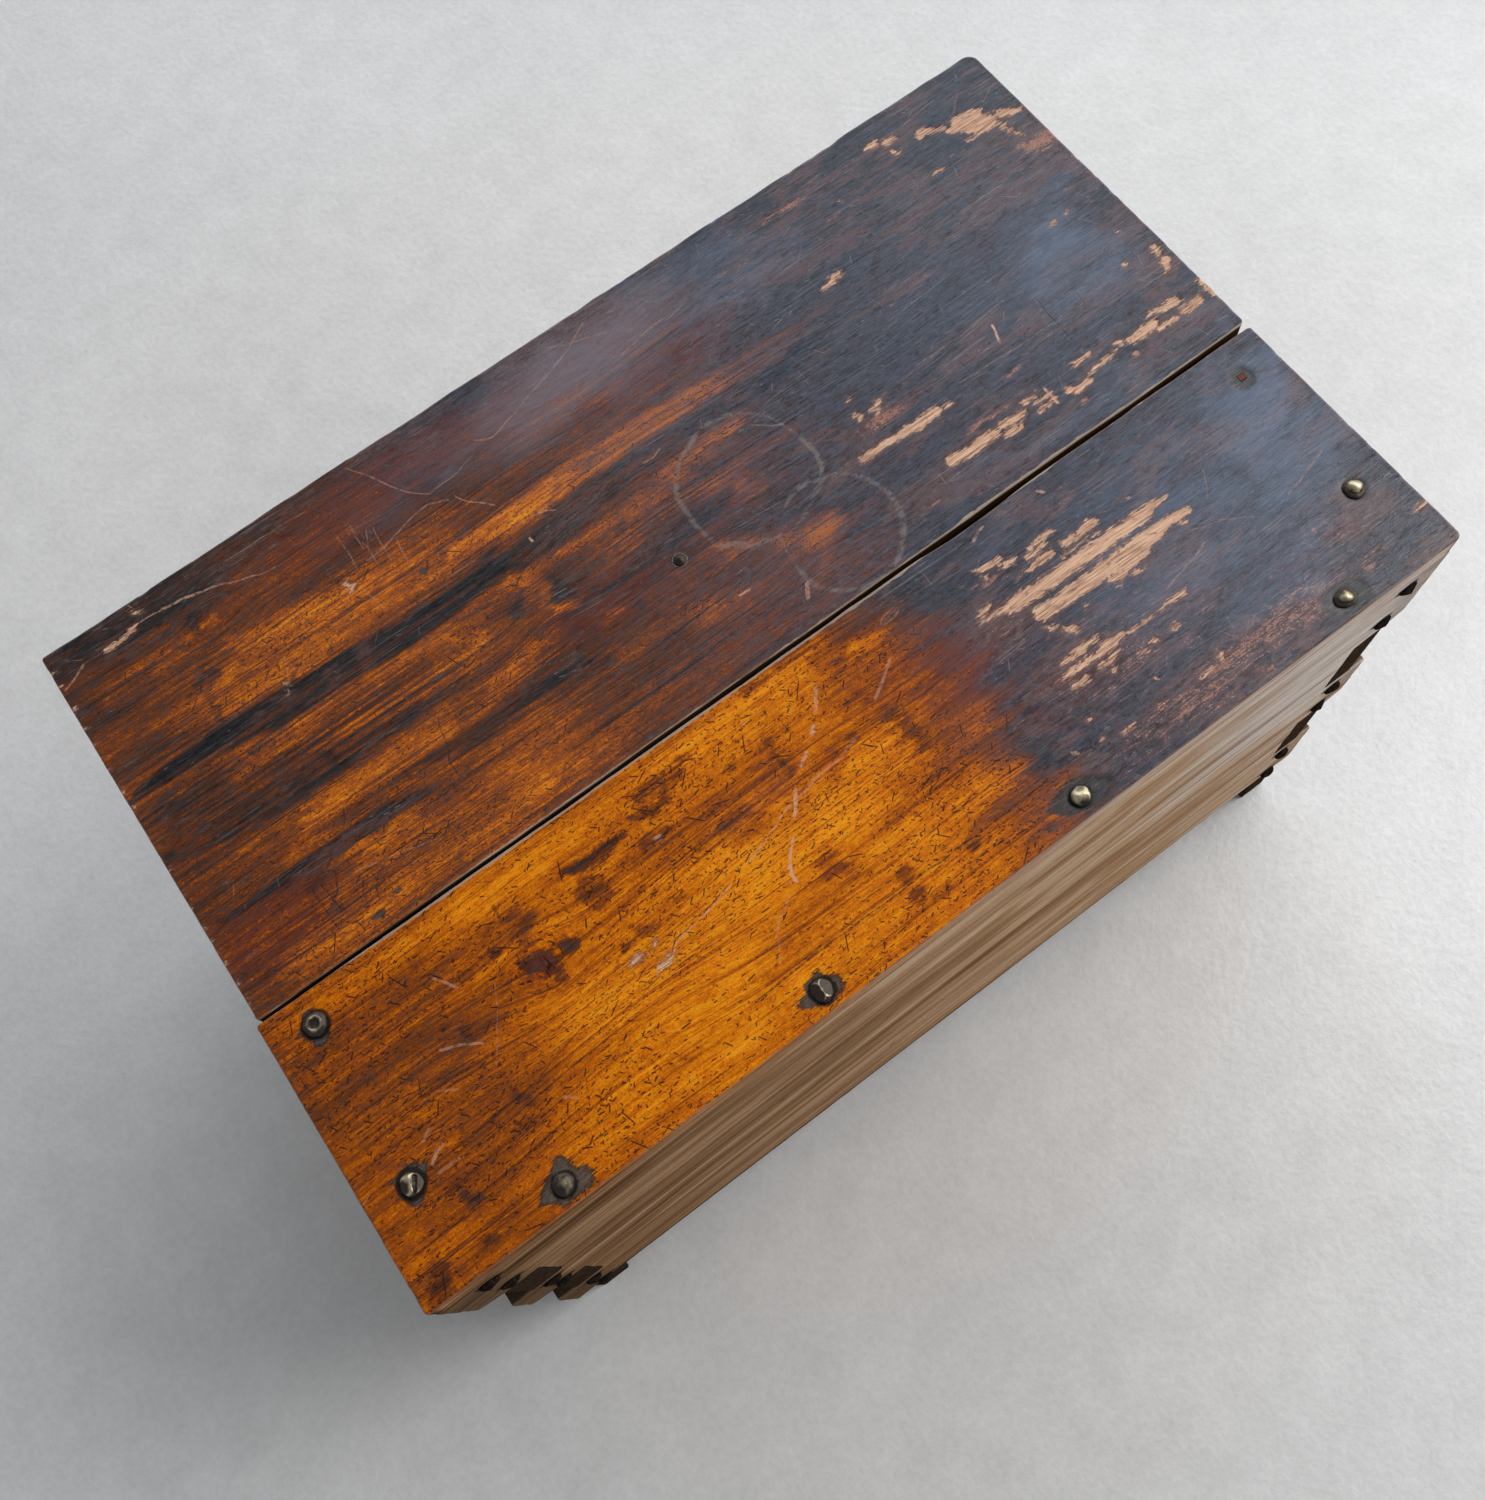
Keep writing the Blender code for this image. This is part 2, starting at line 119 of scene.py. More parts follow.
def lattice(i, j, seed):
    """A repeatable random number from -1 to 1 for each whole-number place."""
    mixed = (i * SCATTER[0] + j * SCATTER[1] + seed * SCATTER[2]) & BITS_32
    mixed = ((mixed ^ (mixed >> 13)) * SCATTER_AGAIN) & BITS_32
    return (mixed ^ (mixed >> 16)) / 2**31 - 1.0


def rough(x, y, seed, layers=1):
    """Smooth noise from -1 to 1 with features one unit wide."""
    total = np.zeros(np.shape(x))
    size = 1.0
    for layer in range(layers):
        i, j = np.floor(x).astype(np.int64), np.floor(y).astype(np.int64)
        a, b = ease(x - i), ease(y - j)
        low = lattice(i, j, seed + layer) * (1 - a) + lattice(i + 1, j, seed + layer) * a
        high = lattice(i, j + 1, seed + layer) * (1 - a) + lattice(i + 1, j + 1, seed + layer) * a
        total = total + size * (low * (1 - b) + high * b)
        size *= 0.5
        x, y = x * 2.03 + 11.7, y * 2.03 + 5.3
    return total


def across(x):
    """0 at the left end of the chest and 1 at its right end."""
    return (x + HALF_LENGTH) / (2 * HALF_LENGTH)


def near_end(x):
    """0 on the faces of the top and 1 on its end walls."""
    return ease((abs(x) - END_START) / 6)


def to_segment(x, y, start, end):
    """Distance to a straight piece, how far along it, and which side, for each point."""
    ax, ay = start[0], start[1]
    bx, by = end[0] - ax, end[1] - ay
    length = math.hypot(bx, by) + 1e-9
    along = ((x - ax) * bx + (y - ay) * by) / length**2
    held = np.clip(along, 0, 1)
    away = np.hypot(x - ax - held * bx, y - ay - held * by)
    side = np.where((x - ax) * by - (y - ay) * bx < 0, -1.0, 1.0)
    return away, along, side


def inside_stroke(x, y, points):
    """How deep each point lies in a stroke through (x, y, half width) points, in millimetres."""
    if len(points) == 1:
        px, py, half = points[0]
        return half - np.hypot(x - px, y - py)
    best = np.full(np.shape(x), -1e3)
    for start, end in zip(points, points[1:]):
        away, along, _ = to_segment(x, y, start, end)
        half = start[2] + (end[2] - start[2]) * np.clip(along, 0, 1)
        best = np.maximum(best, half - away)
    return best


def soft_oval(x, y, cx, cy, half_long, half_wide, amount=1.0, turn=0.0):
    """A soft oval that is strongest in its middle, turned by an angle in degrees."""
    angle = math.radians(turn)
    along = (x - cx) * math.cos(angle) + (y - cy) * math.sin(angle)
    aside = (y - cy) * math.cos(angle) - (x - cx) * math.sin(angle)
    depth = 1 - np.hypot(along / half_long, aside / half_wide)
    return amount * ease(depth * 0.9 + 0.25)


# Objects of the scene

def new_object(name, data):
    """A new object with this mesh, lamp or camera."""
    made = bpy.data.objects.new(name, data)
    bpy.context.scene.collection.objects.link(made)
    return made


def stand_in(piece, node, body):
    """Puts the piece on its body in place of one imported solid."""
    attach(piece, body)
    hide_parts(node)


def refinish(node, material):
    """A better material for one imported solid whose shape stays."""
    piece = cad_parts[node]
    piece.data.materials.clear()
    piece.data.materials.append(material)


# A board as a grid: one fine face, walls in rows and a plain far face

def stations(breaks, step, edges=()):
    """Places along a line: every break, fine steps beside each edge, and even steps between."""
    near = (0.0004, 0.0010, 0.0018, 0.0030)
    low, high = min(breaks), max(breaks)
    marks = set(round(b, 6) for b in breaks)
    for edge in edges:
        for gap in near:
            for place in (edge - gap, edge + gap):
                if low < place < high and min(abs(place - b) for b in breaks) > 0.0002:
                    marks.add(round(place, 6))
    marks = sorted(marks)
    made = [marks[0]]
    for start, end in zip(marks, marks[1:]):
        count = max(1, math.ceil((end - start) / step - 0.01))
        made += [start + (end - start) * k / count for k in range(1, count + 1)]
    return np.array(made)


def thin_out(lines, breaks, step):
    """Which of the fine lines the plain far face keeps: the breaks, and few others."""
    kept = [int(np.argmin(abs(lines - b))) for b in breaks]
    kept = sorted(set(kept))
    every = set(kept)
    for start, end in zip(kept, kept[1:]):
        count = max(1, round((lines[end] - lines[start]) / step))
        every.update(start + round((end - start) * k / count) for k in range(count))
    return np.array(sorted(every))


class Board:
    """Points (u, v, depth), faces and edge distances of a board with square holes."""

    def __init__(self, u_breaks, v_breaks, step, rows, solid_at, holes=(), far_step=0.06):
        hole_u = [h[0] + s * HOLE_SIDE / 2 for h in holes for s in (-1, 1)]
        hole_v = [h[1] + s * HOLE_SIDE / 2 for h in holes for s in (-1, 1)]
        self.us = stations(list(u_breaks) + hole_u, step[0], u_breaks)
        self.vs = stations(list(v_breaks) + hole_v, step[1], v_breaks)
        far_u = thin_out(self.us, list(u_breaks) + hole_u, far_step)
        far_v = thin_out(self.vs, list(v_breaks) + hole_v, far_step)
        mid_u, mid_v = np.meshgrid(
            (self.us[:-1] + self.us[1:]) / 2, (self.vs[:-1] + self.vs[1:]) / 2, indexing="ij"
        )
        outline = solid_at(mid_u, mid_v)
        solid = outline.copy()
        for hu, hv in holes:
            solid &= np.maximum(abs(mid_u - hu), abs(mid_v - hv)) > HOLE_SIDE / 2
        self.build(solid, outline, far_u, far_v, rows)

    def build(self, solid, outline, far_u, far_v, rows):
        """The points and faces of the fine face and of all wall rows but the last."""
        nu, nv = len(self.us), len(self.vs)
        used = np.zeros((nu, nv), bool)
        for a, b in ((0, 0), (1, 0), (0, 1), (1, 1)):
            used[a:nu - 1 + a, b:nv - 1 + b] |= solid
        number = np.full((nu, nv), -1)
        number[used] = np.arange(used.sum())
        i, j = np.nonzero(used)
        points = [np.stack([self.us[i], self.vs[j], np.zeros(len(i))], 1)]
        ci, cj = np.nonzero(solid)
        quads = [number[ci, cj], number[ci + 1, cj], number[ci + 1, cj + 1], number[ci, cj + 1]]
        self.faces = np.stack(quads, 1).tolist()
        edges = self.find_edges(solid, outline)
        count = len(i)
        self.face_points = count
        rim = sorted(set((a, b) for a, b, *_ in edges) | set((a, b) for _, _, a, b, *_ in edges))
        order = {place: k for k, place in enumerate(rim)}
        rim_u = self.us[[a for a, _ in rim]]
        rim_v = self.vs[[b for _, b in rim]]
        levels = [{place: int(number[place]) for place in rim}]
        for depth in rows[:-1]:
            points.append(np.stack([rim_u, rim_v, np.full(len(rim), depth)], 1))
            levels.append({place: count + k for place, k in order.items()})
            count += len(rim)
        for upper, lower in zip(levels, levels[1:]):
            for a, b, c, d, *_ in edges:
                self.faces.append([upper[c, d], upper[a, b], lower[a, b], lower[c, d]])
        self.close(solid, edges, levels[-1], points, count, far_u, far_v, rows[-1])

    def find_edges(self, solid, outline):
        """Directed edges of the solid cells, with the way they run and if they bound a hole."""
        open_cells = np.pad(solid, 1)
        whole = np.pad(outline, 1)
        ways = (
            (0, -1, (0, 0, 1, 0)),
            (1, 0, (1, 0, 1, 1)),
            (0, 1, (1, 1, 0, 1)),
            (-1, 0, (0, 1, 0, 0)),
        )
        edges = []
        for way, (di, dj, (a, b, c, d)) in enumerate(ways):
            shape = solid.shape
            beside = open_cells[1 + di:1 + di + shape[0], 1 + dj:1 + dj + shape[1]]
            cut = whole[1 + di:1 + di + shape[0], 1 + dj:1 + dj + shape[1]]
            for i, j in zip(*np.nonzero(solid & ~beside)):
                edges.append((i + a, j + b, i + c, j + d, way, bool(cut[i, j])))
        return edges

    def close(self, solid, edges, last, points, count, far_u, far_v, depth):
        """The last wall row and the far face, both on the kept lines only."""
        far = {}
        cells = solid[np.ix_(far_u[:-1], far_v[:-1])]
        backs = []
        for ci, cj in zip(*np.nonzero(cells)):
            corners = ((ci, cj), (ci, cj + 1), (ci + 1, cj + 1), (ci + 1, cj))
            for place in corners:
                far.setdefault((far_u[place[0]], far_v[place[1]]), count + len(far))
            backs.append([far[far_u[a], far_v[b]] for a, b in corners])
        places = list(far)
        points.append(
            np.stack(
                [
                    self.us[[a for a, _ in places]],
                    self.vs[[b for _, b in places]],
                    np.full(len(places), depth),
                ],
                1,
            )
        )
        groups = {}
        for a, b, c, d, way, hole in edges:
            run, lines, fixed = (min(b, d), far_v, a) if way % 2 else (min(a, c), far_u, b)
            part = int(np.searchsorted(lines, run, "right")) - 1
            groups.setdefault((way, fixed, part), []).append((run, (a, b), (c, d), hole))
        self.outline = []
        for (way, _, _), run in sorted(groups.items()):
            run.sort(key=lambda item: item[0], reverse=way in (2, 3))
            chain = [run[0][1]] + [item[2] for item in run]
            wall = [last[place] for place in reversed(chain)]
            self.faces.append(wall + [far[chain[0]], far[chain[-1]]])
            if not run[0][3]:
                self.outline.append((chain[0], chain[-1]))
        self.skin_faces = len(self.faces)
        self.faces += backs
        merged = np.concatenate(points)
        self.u, self.v, self.depth = merged[:, 0], merged[:, 1], merged[:, 2]
        self.on_face = np.arange(len(self.u)) < self.face_points

    def edge_distance(self, most=0.03):
        """Distance of every point to the board's outline, leaving out its holes."""
        best = np.full(len(self.u), most)
        for (a, b), (c, d) in self.outline:
            start = (self.us[a], self.vs[b])
            end = (self.us[c], self.vs[d])
            low_u, high_u = min(start[0], end[0]) - most, max(start[0], end[0]) + most
            low_v, high_v = min(start[1], end[1]) - most, max(start[1], end[1]) + most
            near = (self.u > low_u) & (self.u < high_u) & (self.v > low_v) & (self.v < high_v)
            away, _, _ = to_segment(self.u[near], self.v[near], start, end)
            best[near] = np.minimum(best[near], away)
        return best

    def fall(self, edge, radius, sunk):
        """How far each point lies below the face, which is rounded at its edge and sunk by wear."""
        return np.where(self.on_face, round_over(edge, radius) + sunk, self.depth)

    def edge_fields(self, edge):
        """The distance from the arris in millimetres, and 1 where the walls are."""
        down = np.where(self.on_face, 0, self.depth / MM)
        wall = np.where(self.on_face, ease((WALL_BLEND - edge) / WALL_BLEND), 1.0)
        return {"edge": edge / MM + down, "wall": wall}

    def mesh(self, name, places, fields, skin, core):
        """The finished object, with its fields as attributes for the materials."""
        made = bpy.data.meshes.new(name)
        made.from_pydata(places.tolist(), [], self.faces)
        made.materials.append(skin)
        made.materials.append(core)
        index = np.zeros(len(self.faces), np.int32)
        index[self.skin_faces:] = 1
        made.polygons.foreach_set("material_index", index)
        for field, values in fields.items():
            kind, slot = ("FLOAT_VECTOR", "vector") if values.ndim == 2 else ("FLOAT", "value")
            layer = made.attributes.new(field, kind, "POINT")
            layer.data.foreach_set(slot, values.astype(np.float32).ravel())
        made.shade_smooth()
        made.set_sharp_from_angle(angle=BOARD_SHARP_ANGLE)
        made.update()
        return new_object(name, made)


def round_over(distance, radius):
    """How far an arris of this radius falls at this distance from the edge."""
    inward = np.clip(radius - distance, 0, radius)
    return radius - np.sqrt(np.maximum(radius**2 - inward**2, 0))


def square_to_round(u, v, corner, way, radius):
    """Draws the points near one square corner of a board onto an arc."""
    a = way[0] * (u - corner[0]) + radius
    b = way[1] * (v - corner[1]) + radius
    near = (a > 0) & (b > 0)
    reach = np.hypot(a, b) + 1e-12
    scale = np.where(near, np.maximum(a, b) / reach, 1.0)
    moved_u = np.where(near, corner[0] + way[0] * (a * scale - radius), u)
    moved_v = np.where(near, corner[1] + way[1] * (b * scale - radius), v)
    return moved_u, moved_v


# Wear of the lid, in millimetres: soft strokes of (x, y, half width), softness and amount

LID_DARK = [
    # the long dark streaks along the grain
    (
        [(-350, 113, 2), (-300, 112, 6), (-255, 109, 9), (-200, 106, 9), (-150, 105, 8), (-100, 106, 8)],
        4.0, 0.98,
    ),
    ([(-100, 106, 8), (-50, 108, 7), (10, 111, 6), (70, 111, 6), (140, 112, 8)], 5, 0.46),
    ([(-300, 119, 3), (-250, 117, 3), (-205, 115, 2)], 3, 0.35),
    ([(-345, 61, 1), (-310, 59, 3), (-275, 58, 5), (-230, 57, 5), (-190, 58, 4), (-165, 60, 2)], 2.6, 0.66),
    ([(-358, 14, 1), (-325, 15, 2), (-300, 15, 5), (-268, 14, 6), (-240, 13, 4), (-205, 10, 2)], 2.6, 0.72),
    ([(-205, 25, 3), (-170, 21, 6), (-130, 23, 10), (-100, 20, 9), (-84, 15, 4)], 5, 0.52),
    ([(-92, 50, 5), (-60, 54, 6), (-20, 56, 6), (30, 60, 8)], 6, 0.30),
    ([(-95, 97, 3), (-60, 96, 4), (-30, 94, 3)], 3, 0.35),
    # the dark back left edge
    ([(-345, 222, 6), (-300, 217, 14), (-250, 216, 15), (-205, 219, 9)], 9, 0.38),
    ([(-310, 200, 10), (-270, 198, 10), (-245, 196, 6)], 8, 0.28),
    ([(-200, 224, 5), (-100, 224, 5), (0, 222, 6)], 6, 0.22),
    ([(-300, 170, 2), (-240, 171, 3), (-190, 170, 6), (-150, 172, 9), (-60, 176, 12)], 8, 0.22),
    # smudges
    ([(-283, 160, 2), (-280, 153, 5), (-292, 151, 3)], 2, 0.35),
    ([(-288, 148, 3), (-288, 125, 3)], 2, 0.30),
    ([(-272, 185, 4), (-270, 196, 4)], 3, 0.30),
    ([(-342, 98, 5), (-342, 80, 5)], 6, 0.22),
    ([(-353, 70, 3)], 3, 0.5),
    ([(-327, 72, 3)], 3, 0.35),
    ([(-285, 94, 1), (-272, 94, 2)], 2, 0.45),
    ([(-262, 24, 4), (-225, 24, 7), (-195, 26, 6)], 5, 0.22),
    ([(-285, 70, 2), (-268, 60, 3)], 2, 0.3),
    ([(-250, 70, 3), (-246, 60, 3)], 3, 0.3),
    ([(-290, 8, 4), (-296, 2, 4)], 3, 0.3),
    ([(-79, 78, 2), (-79, 70, 4), (-84, 65, 5), (-76, 64, 3)], 3, 0.80),
    ([(-100, 85, 1), (-105, 78, 3), (-110, 73, 4)], 3, 0.70),
    ([(-123, 81, 2)], 3, 0.30),
    ([(-27, 80, 4)], 3, 0.30),
    ([(-40, 73, 4)], 4, 0.25),
    ([(-88, 41, 3)], 3, 0.25),
    ([(-49, 31, 4)], 4, 0.25),
    ([(-125, 137, 2), (-122, 139, 1)], 2, 0.35),
    ([(-33, -8, 9), (-20, -18, 10), (-60, -5, 5)], 9, 0.16),
    ([(-73, -22, 0.5), (-60, -10, 1)], 2, 0.2),
    ([(40, 32, 5), (60, 40, 6), (90, 38, 7)], 8, 0.20),
    ([(60, 28, 5), (85, 20, 6)], 6, 0.25),
    ([(53, -10, 3), (48, 4, 2)], 3, 0.25),
    # broad shade
    ([(-260, 80, 16), (-150, 84, 16)], 12, 0.12),
    ([(-310, 80, 16), (-230, 78, 20), (-165, 72, 18)], 10, 0.27),
    ([(-290, -5, 22), (-180, -5, 22)], 12, 0.10),
    ([(-330, 153, 10), (-210, 155, 10)], 10, 0.10),
    ([(-130, 60, 20), (40, 60, 20)], 12, 0.06),
    ([(-220, 40, 8), (-150, 40, 10)], 8, 0.06),
]

LID_BRIGHT = [
    ([(58, -2, 7), (78, 2, 8)], 7, 0.16),
    ([(30, 66, 8), (52, 60, 7)], 7, 0.13),
    ([(-20, 2, 10), (6, 6, 6)], 7, 0.10),
    ([(-52, 60, 8), (-34, 66, 9)], 6, 0.12),
    ([(-70, 184, 18), (90, 192, 20)], 14, 0.19),
    ([(-130, -22, 16), (-20, -20, 16)], 12, 0.08),
    ([(-100, 112, 10), (-60, 116, 10)], 8, 0.08),
    # the long amber band behind the middle, and its fading brown end
    (
        [
            (-322, 138, 5), (-285, 137, 12), (-235, 136, 13),
            (-180, 136, 13), (-120, 132, 12), (-90, 130, 10), (-40, 128, 9),
        ],
        7, 0.15,
    ),
    (
        [
            (-120, 131, 4), (-90, 130, 8), (-40, 128, 9),
            (20, 127, 9), (80, 126, 8), (130, 125, 5), (160, 125, 2),
        ],
        6, 0.30,
    ),
    ([(-262, 160, 6), (-235, 155, 7), (-205, 153, 5)], 6, 0.20),
    ([(-335, 180, 8), (-300, 180, 8), (-275, 182, 5)], 8, 0.16),
    ([(-300, 173, 4), (-280, 171, 3)], 3, 0.12),
    ([(-262, 184, 4)], 4, 0.18),
    # between the dark streaks
    ([(-290, 93, 6), (-240, 84, 13), (-200, 80, 15), (-160, 78, 17), (-142, 76, 12)], 8, 0.20),
    ([(-272, 40, 6), (-230, 40, 7), (-190, 36, 6)], 6, 0.17),
    ([(-150, 42, 8), (-120, 42, 8), (-100, 45, 5)], 7, 0.12),
    ([(-262, 2, 5), (-230, 2, 6)], 5, 0.13),
    ([(-325, -30, 8), (-270, -20, 15), (-220, -18, 20), (-170, -20, 18)], 10, 0.13),
    ([(-180, -2, 6), (-140, -6, 6)], 7, 0.10),
    ([(-108, 92, 5), (-60, 90, 6), (0, 88, 6), (60, 92, 6)], 6, 0.20),
    ([(-95, 80, 8), (-92, 70, 7)], 5, 0.22),
    ([(-95, 62, 3), (-82, 57, 4), (-76, 57, 2)], 3, 0.32),
    ([(-66, 37, 6)], 3, 0.20),
    ([(-50, 75, 4), (0, 72, 5), (60, 70, 4), (90, 70, 3)], 5, 0.14),
    ([(10, 96, 3), (30, 97, 2)], 3, 0.15),
    ([(40, 96, 5), (70, 95, 4)], 4, 0.14),
    ([(50, 12, 8), (66, 8, 10), (82, 12, 6)], 8, 0.20),
    ([(-80, 12, 5), (-45, 8, 6), (-10, 6, 6)], 7, 0.12),
    ([(5, 35, 5), (20, 25, 5)], 6, 0.10),
    ([(48, -18, 2), (64, -14, 3)], 4, 0.12),
]

# Reddish places: ovals of (x, y, half length, half width)
LID_RED = [
    (-120, 196, 120, 34),
    (-330, -5, 60, 26),
    (-60, 45, 60, 20),
    (-66, 37, 9, 7),
    (60, 160, 90, 12),
]

# Worn down to bare tan wood: strokes of (x, y, half width)
LID_BARE = [
    *[[(x, 232.0, 0.9), (x + 2.5, 230.8, 0.7)] for x in (-213, -196, -147, -138, -134, -124, -100, -90)],
    *[[(x, 232.2, 0.8), (x + 6.0, 231.4, 0.6)] for x in (45, 54, 100, 108, 125, 136, 146)],
    *[
        [(-360.2, y, 0.9), (-357.6, y + 0.6, 0.6)]
        for y in (-34, -27, -19, -6, 3, 11, 18, 21, 33, 44, 62, 77)
    ],
    *[
        [(-360.2, y, 0.8), (-358.2, y - 0.5, 0.5)]
        for y in (88, 97, 109, 121, 126, 139, 158, 171, 186, 204, 215)
    ],
    [(157, -7, 3.6), (170, -9, 3.4), (182, -8, 4.2), (190, -9, 3.0)],
    [(196, -7, 2.2), (206, -9, 3.0), (213, -8, 1.6)],
    [(196, -14, 2.2), (204, -15, 2.2)],
    [(220, -14, 1.8), (233, -13, 1.8)],
    [(216, -3, 1.0), (226, -3, 1.2)],
    [(222, -8, 1.0), (233, -8, 1.6)],
    [(243, -12, 1.6), (248, -16, 2.2), (258, -16, 1.8)],
    [(262, -12, 1.1), (272, -11, 1.2), (284, -10, 1.0)],
    [(258, -1, 1.3), (270, -1, 1.2)],
    [(246, -24, 1.0), (249, -25, 0.9)],
    [(290, -7, 2.0)],
    [(297, -10, 3.2), (314, -10, 3.8)],
    [(316, -14, 1.3), (328, -15, 1.4)],
    [(336, -14, 3.0), (349, -14, 2.8)],
    [(319, -3, 1.6), (328, -5, 1.8), (336, -5, 3.2)],
    [(357, -3, 1.8), (358, -18, 1.6)],
    [(349, 17, 2.8), (353, 21, 3.2)],
    [(351, 27, 1.6), (354, 33, 2.6)],
    [(292, -19, 2.0)],
    [(318, 187, 6.0), (326, 182, 9.5), (331, 177, 7.0)],
    [(309, 185, 3.0), (316, 184, 4.0)],
    [(289, 194, 2.2), (295, 197, 3.4), (300, 193, 1.4), (309, 190, 0.9)],
    [(312, 172, 0.8), (337, 171, 0.9)],
    [(343, 176, 3.4), (350, 172, 2.8), (356, 170, 1.6)],
    [(338, 168, 1.4), (340, 158, 1.2), (345, 152, 0.8)],
    [(258, 209, 1.8), (264, 209, 3.0)],
    [(271, 205, 2.4), (279, 204, 1.0)],
    [(268, 196, 2.4), (271, 193, 1.2)],
    [(280, 165, 0.9), (286, 165, 0.9)],
    [(115, 27, 1.6), (128, 27, 2.2), (145, 26, 2.8), (160, 25, 3.6), (172, 26, 3.4)],
    [(178, 24, 1.6), (182, 24, 1.2)],
    [(130, 54, 1.0), (132, 50, 2.2)],
    [(141, 51, 1.4), (147, 53, 1.6), (143, 48, 1.4)],
    [(134, 65.5, 1.2)],
    [(171, 139, 1.4), (180, 142, 2.4), (186, 143, 1.6)],
    [(313, 86, 0.9), (318, 87.5, 1.0)],
    [(328, 88, 1.0)],
    [(343, 56, 1.1)],
    [(330, 34, 1.3)],
    [(219, 187, 1.0)],
    [(-323, 206.5, 1.5), (-312, 208, 1.5), (-302, 210, 1.4)],
    [(-300, 219, 1.2), (-296, 217, 1.6)],
    [(-182.5, 154, 1.5), (-182, 149, 1.7)],
]

# Thinly worn to reddish brown: ovals of (x, y, half length, half width) and how much
LID_SCUFF = [
    (145, 41, 27, 8, 0.75),
    (225, 20, 15, 3.5, 0.8),
    (180, 205, 24, 4.5, 0.75),
    (140, 212, 14, 4, 0.4),
    (136, 188, 16, 5, 0.45),
    (60, 190, 14, 4, 0.35),
    (88, 177, 12, 4, 0.4),
    (170, 166, 10, 4, 0.5),
    (190, 171, 14, 2, 0.55),
    (207, 178, 10, 2.5, 0.45),
    (346, 140, 11, 8.5, 0.9),
    (358, 125, 3, 30, 0.35),
    (222, 105, 34, 2.5, 0.4),
    (200, 102, 9, 3, 0.5),
    (257, 120, 7, 2, 0.6),
    (196, 67, 6, 3, 0.45),
    (190, 2, 22, 3, 0.8),
    (215, 40, 18, 6, 0.35),
    (255, 33, 10, 3, 0.35),
    (158, 55, 7, 1.8, 0.6),
    (114, 56, 4, 2.4, 0.6),
    (90, -33, 5, 2, 0.6),
    (112, 33, 5, 2.5, 0.6),
    (350, 192, 4, 2.5, 0.5),
    (265, 184, 16, 2, 0.4),
    (-333, 36, 5, 1.4, 0.9),
    (-333, -10, 9, 3.2, 0.55),
    (132, -22, 4, 1.3, 0.9),
    (-40, 205, 20, 8, 0.3),
    (110, 30, 70, 45, 0.12),
    (190, 60, 60, 40, 0.10),
]

# Pale scratches: points, half width in millimetres, strength
LID_PALE = [
    (
        [(-302, 210.5), (-288, 210.5), (-277, 209.5), (-262, 206), (-248, 202), (-237, 198), (-226, 194.5)],
        0.55, 1.0,
    ),
    ([(-285, 210.3), (-272, 208.6), (-258, 205)], 1.1, 0.75),
    ([(-224, 193), (-213, 191)], 0.4, 0.7),
    ([(-357, 200), (-349, 203), (-340, 207)], 0.9, 0.45),
    ([(-300, 227), (-298, 222)], 0.4, 0.7),
    ([(-235, 214), (-180, 213)], 0.4, 0.5),
    ([(-143, 222), (-131, 202), (-121, 184), (-111, 174)], 0.45, 0.65),
    ([(-165, 159), (-150, 161), (-130, 166), (-116, 168), (-104, 163)], 0.6, 0.6),
    ([(-98.5, 162), (-93, 153), (-82, 143)], 0.5, 0.85),
    ([(-110, 173), (-90, 176), (-74, 179)], 0.4, 0.5),
    ([(-67, 188), (-58, 183), (-38, 188), (-18, 195), (4, 202), (20, 209), (34, 216)], 0.5, 0.6),
    ([(40, 181), (56, 185), (75, 187)], 0.4, 0.6),
    ([(77, 184), (92, 187)], 0.35, 0.45),
    ([(-64, 121), (-58, 119), (-54, 115.5)], 0.7, 1.0),
    ([(-133, 119), (-112, 118)], 0.5, 0.5),
    ([(7, 109), (16, 109), (21, 110.5)], 0.5, 0.8),
    ([(77, 88), (85, 81), (92, 77)], 0.6, 0.5),
    ([(236, 52), (235, 46), (233.5, 40)], 0.8, 1.0),
    ([(234, -3), (233, -15)], 0.9, 1.0),
    ([(180, 58), (215, 58), (254, 62)], 0.4, 0.45),
    ([(195, 32), (225, 31), (268, 29)], 0.4, 0.5),
    ([(288, 209), (315, 213)], 0.5, 0.3),
    ([(315, 193), (332, 206)], 0.5, 0.3),
    ([(-244, 118), (-241, 127), (-238, 136)], 0.5, 0.45),
    ([(-246, 121), (-244, 117)], 0.9, 0.8),
    ([(-250, 113.5), (-247, 113)], 0.7, 0.6),
    ([(-76.5, 109.5), (-76.4, 107.5)], 0.8, 1.0),
    ([(-275, -3), (-255, -7), (-240, -11), (-222, -16)], 0.4, 0.55),
    ([(34, -27), (37, -22), (40, -18)], 1.2, 0.55),
    ([(3, 0), (11, 0)], 0.8, 0.7),
    ([(-177, 145), (-173, 125)], 0.4, 0.45),
    ([(-335, 24), (-331, 33)], 0.3, 0.4),
]

# Pale scratches that may cross the others
LID_PALE_CROSSING = [
    ([(-172, 184), (-172.5, 158)], 0.4, 0.5),
    ([(-162, 186), (-163, 168)], 0.4, 0.5),
    ([(-155, 178), (-160, 166), (-161, 155)], 0.45, 0.5),
    ([(-151, 176), (-153, 150)], 0.35, 0.5),
    ([(-142, 162), (-145, 144)], 0.5, 0.6),
    ([(5, 216), (18, 210), (30, 206), (42, 201)], 0.4, 0.4),
    ([(-166, 183), (-145, 181)], 0.4, 0.3),
]

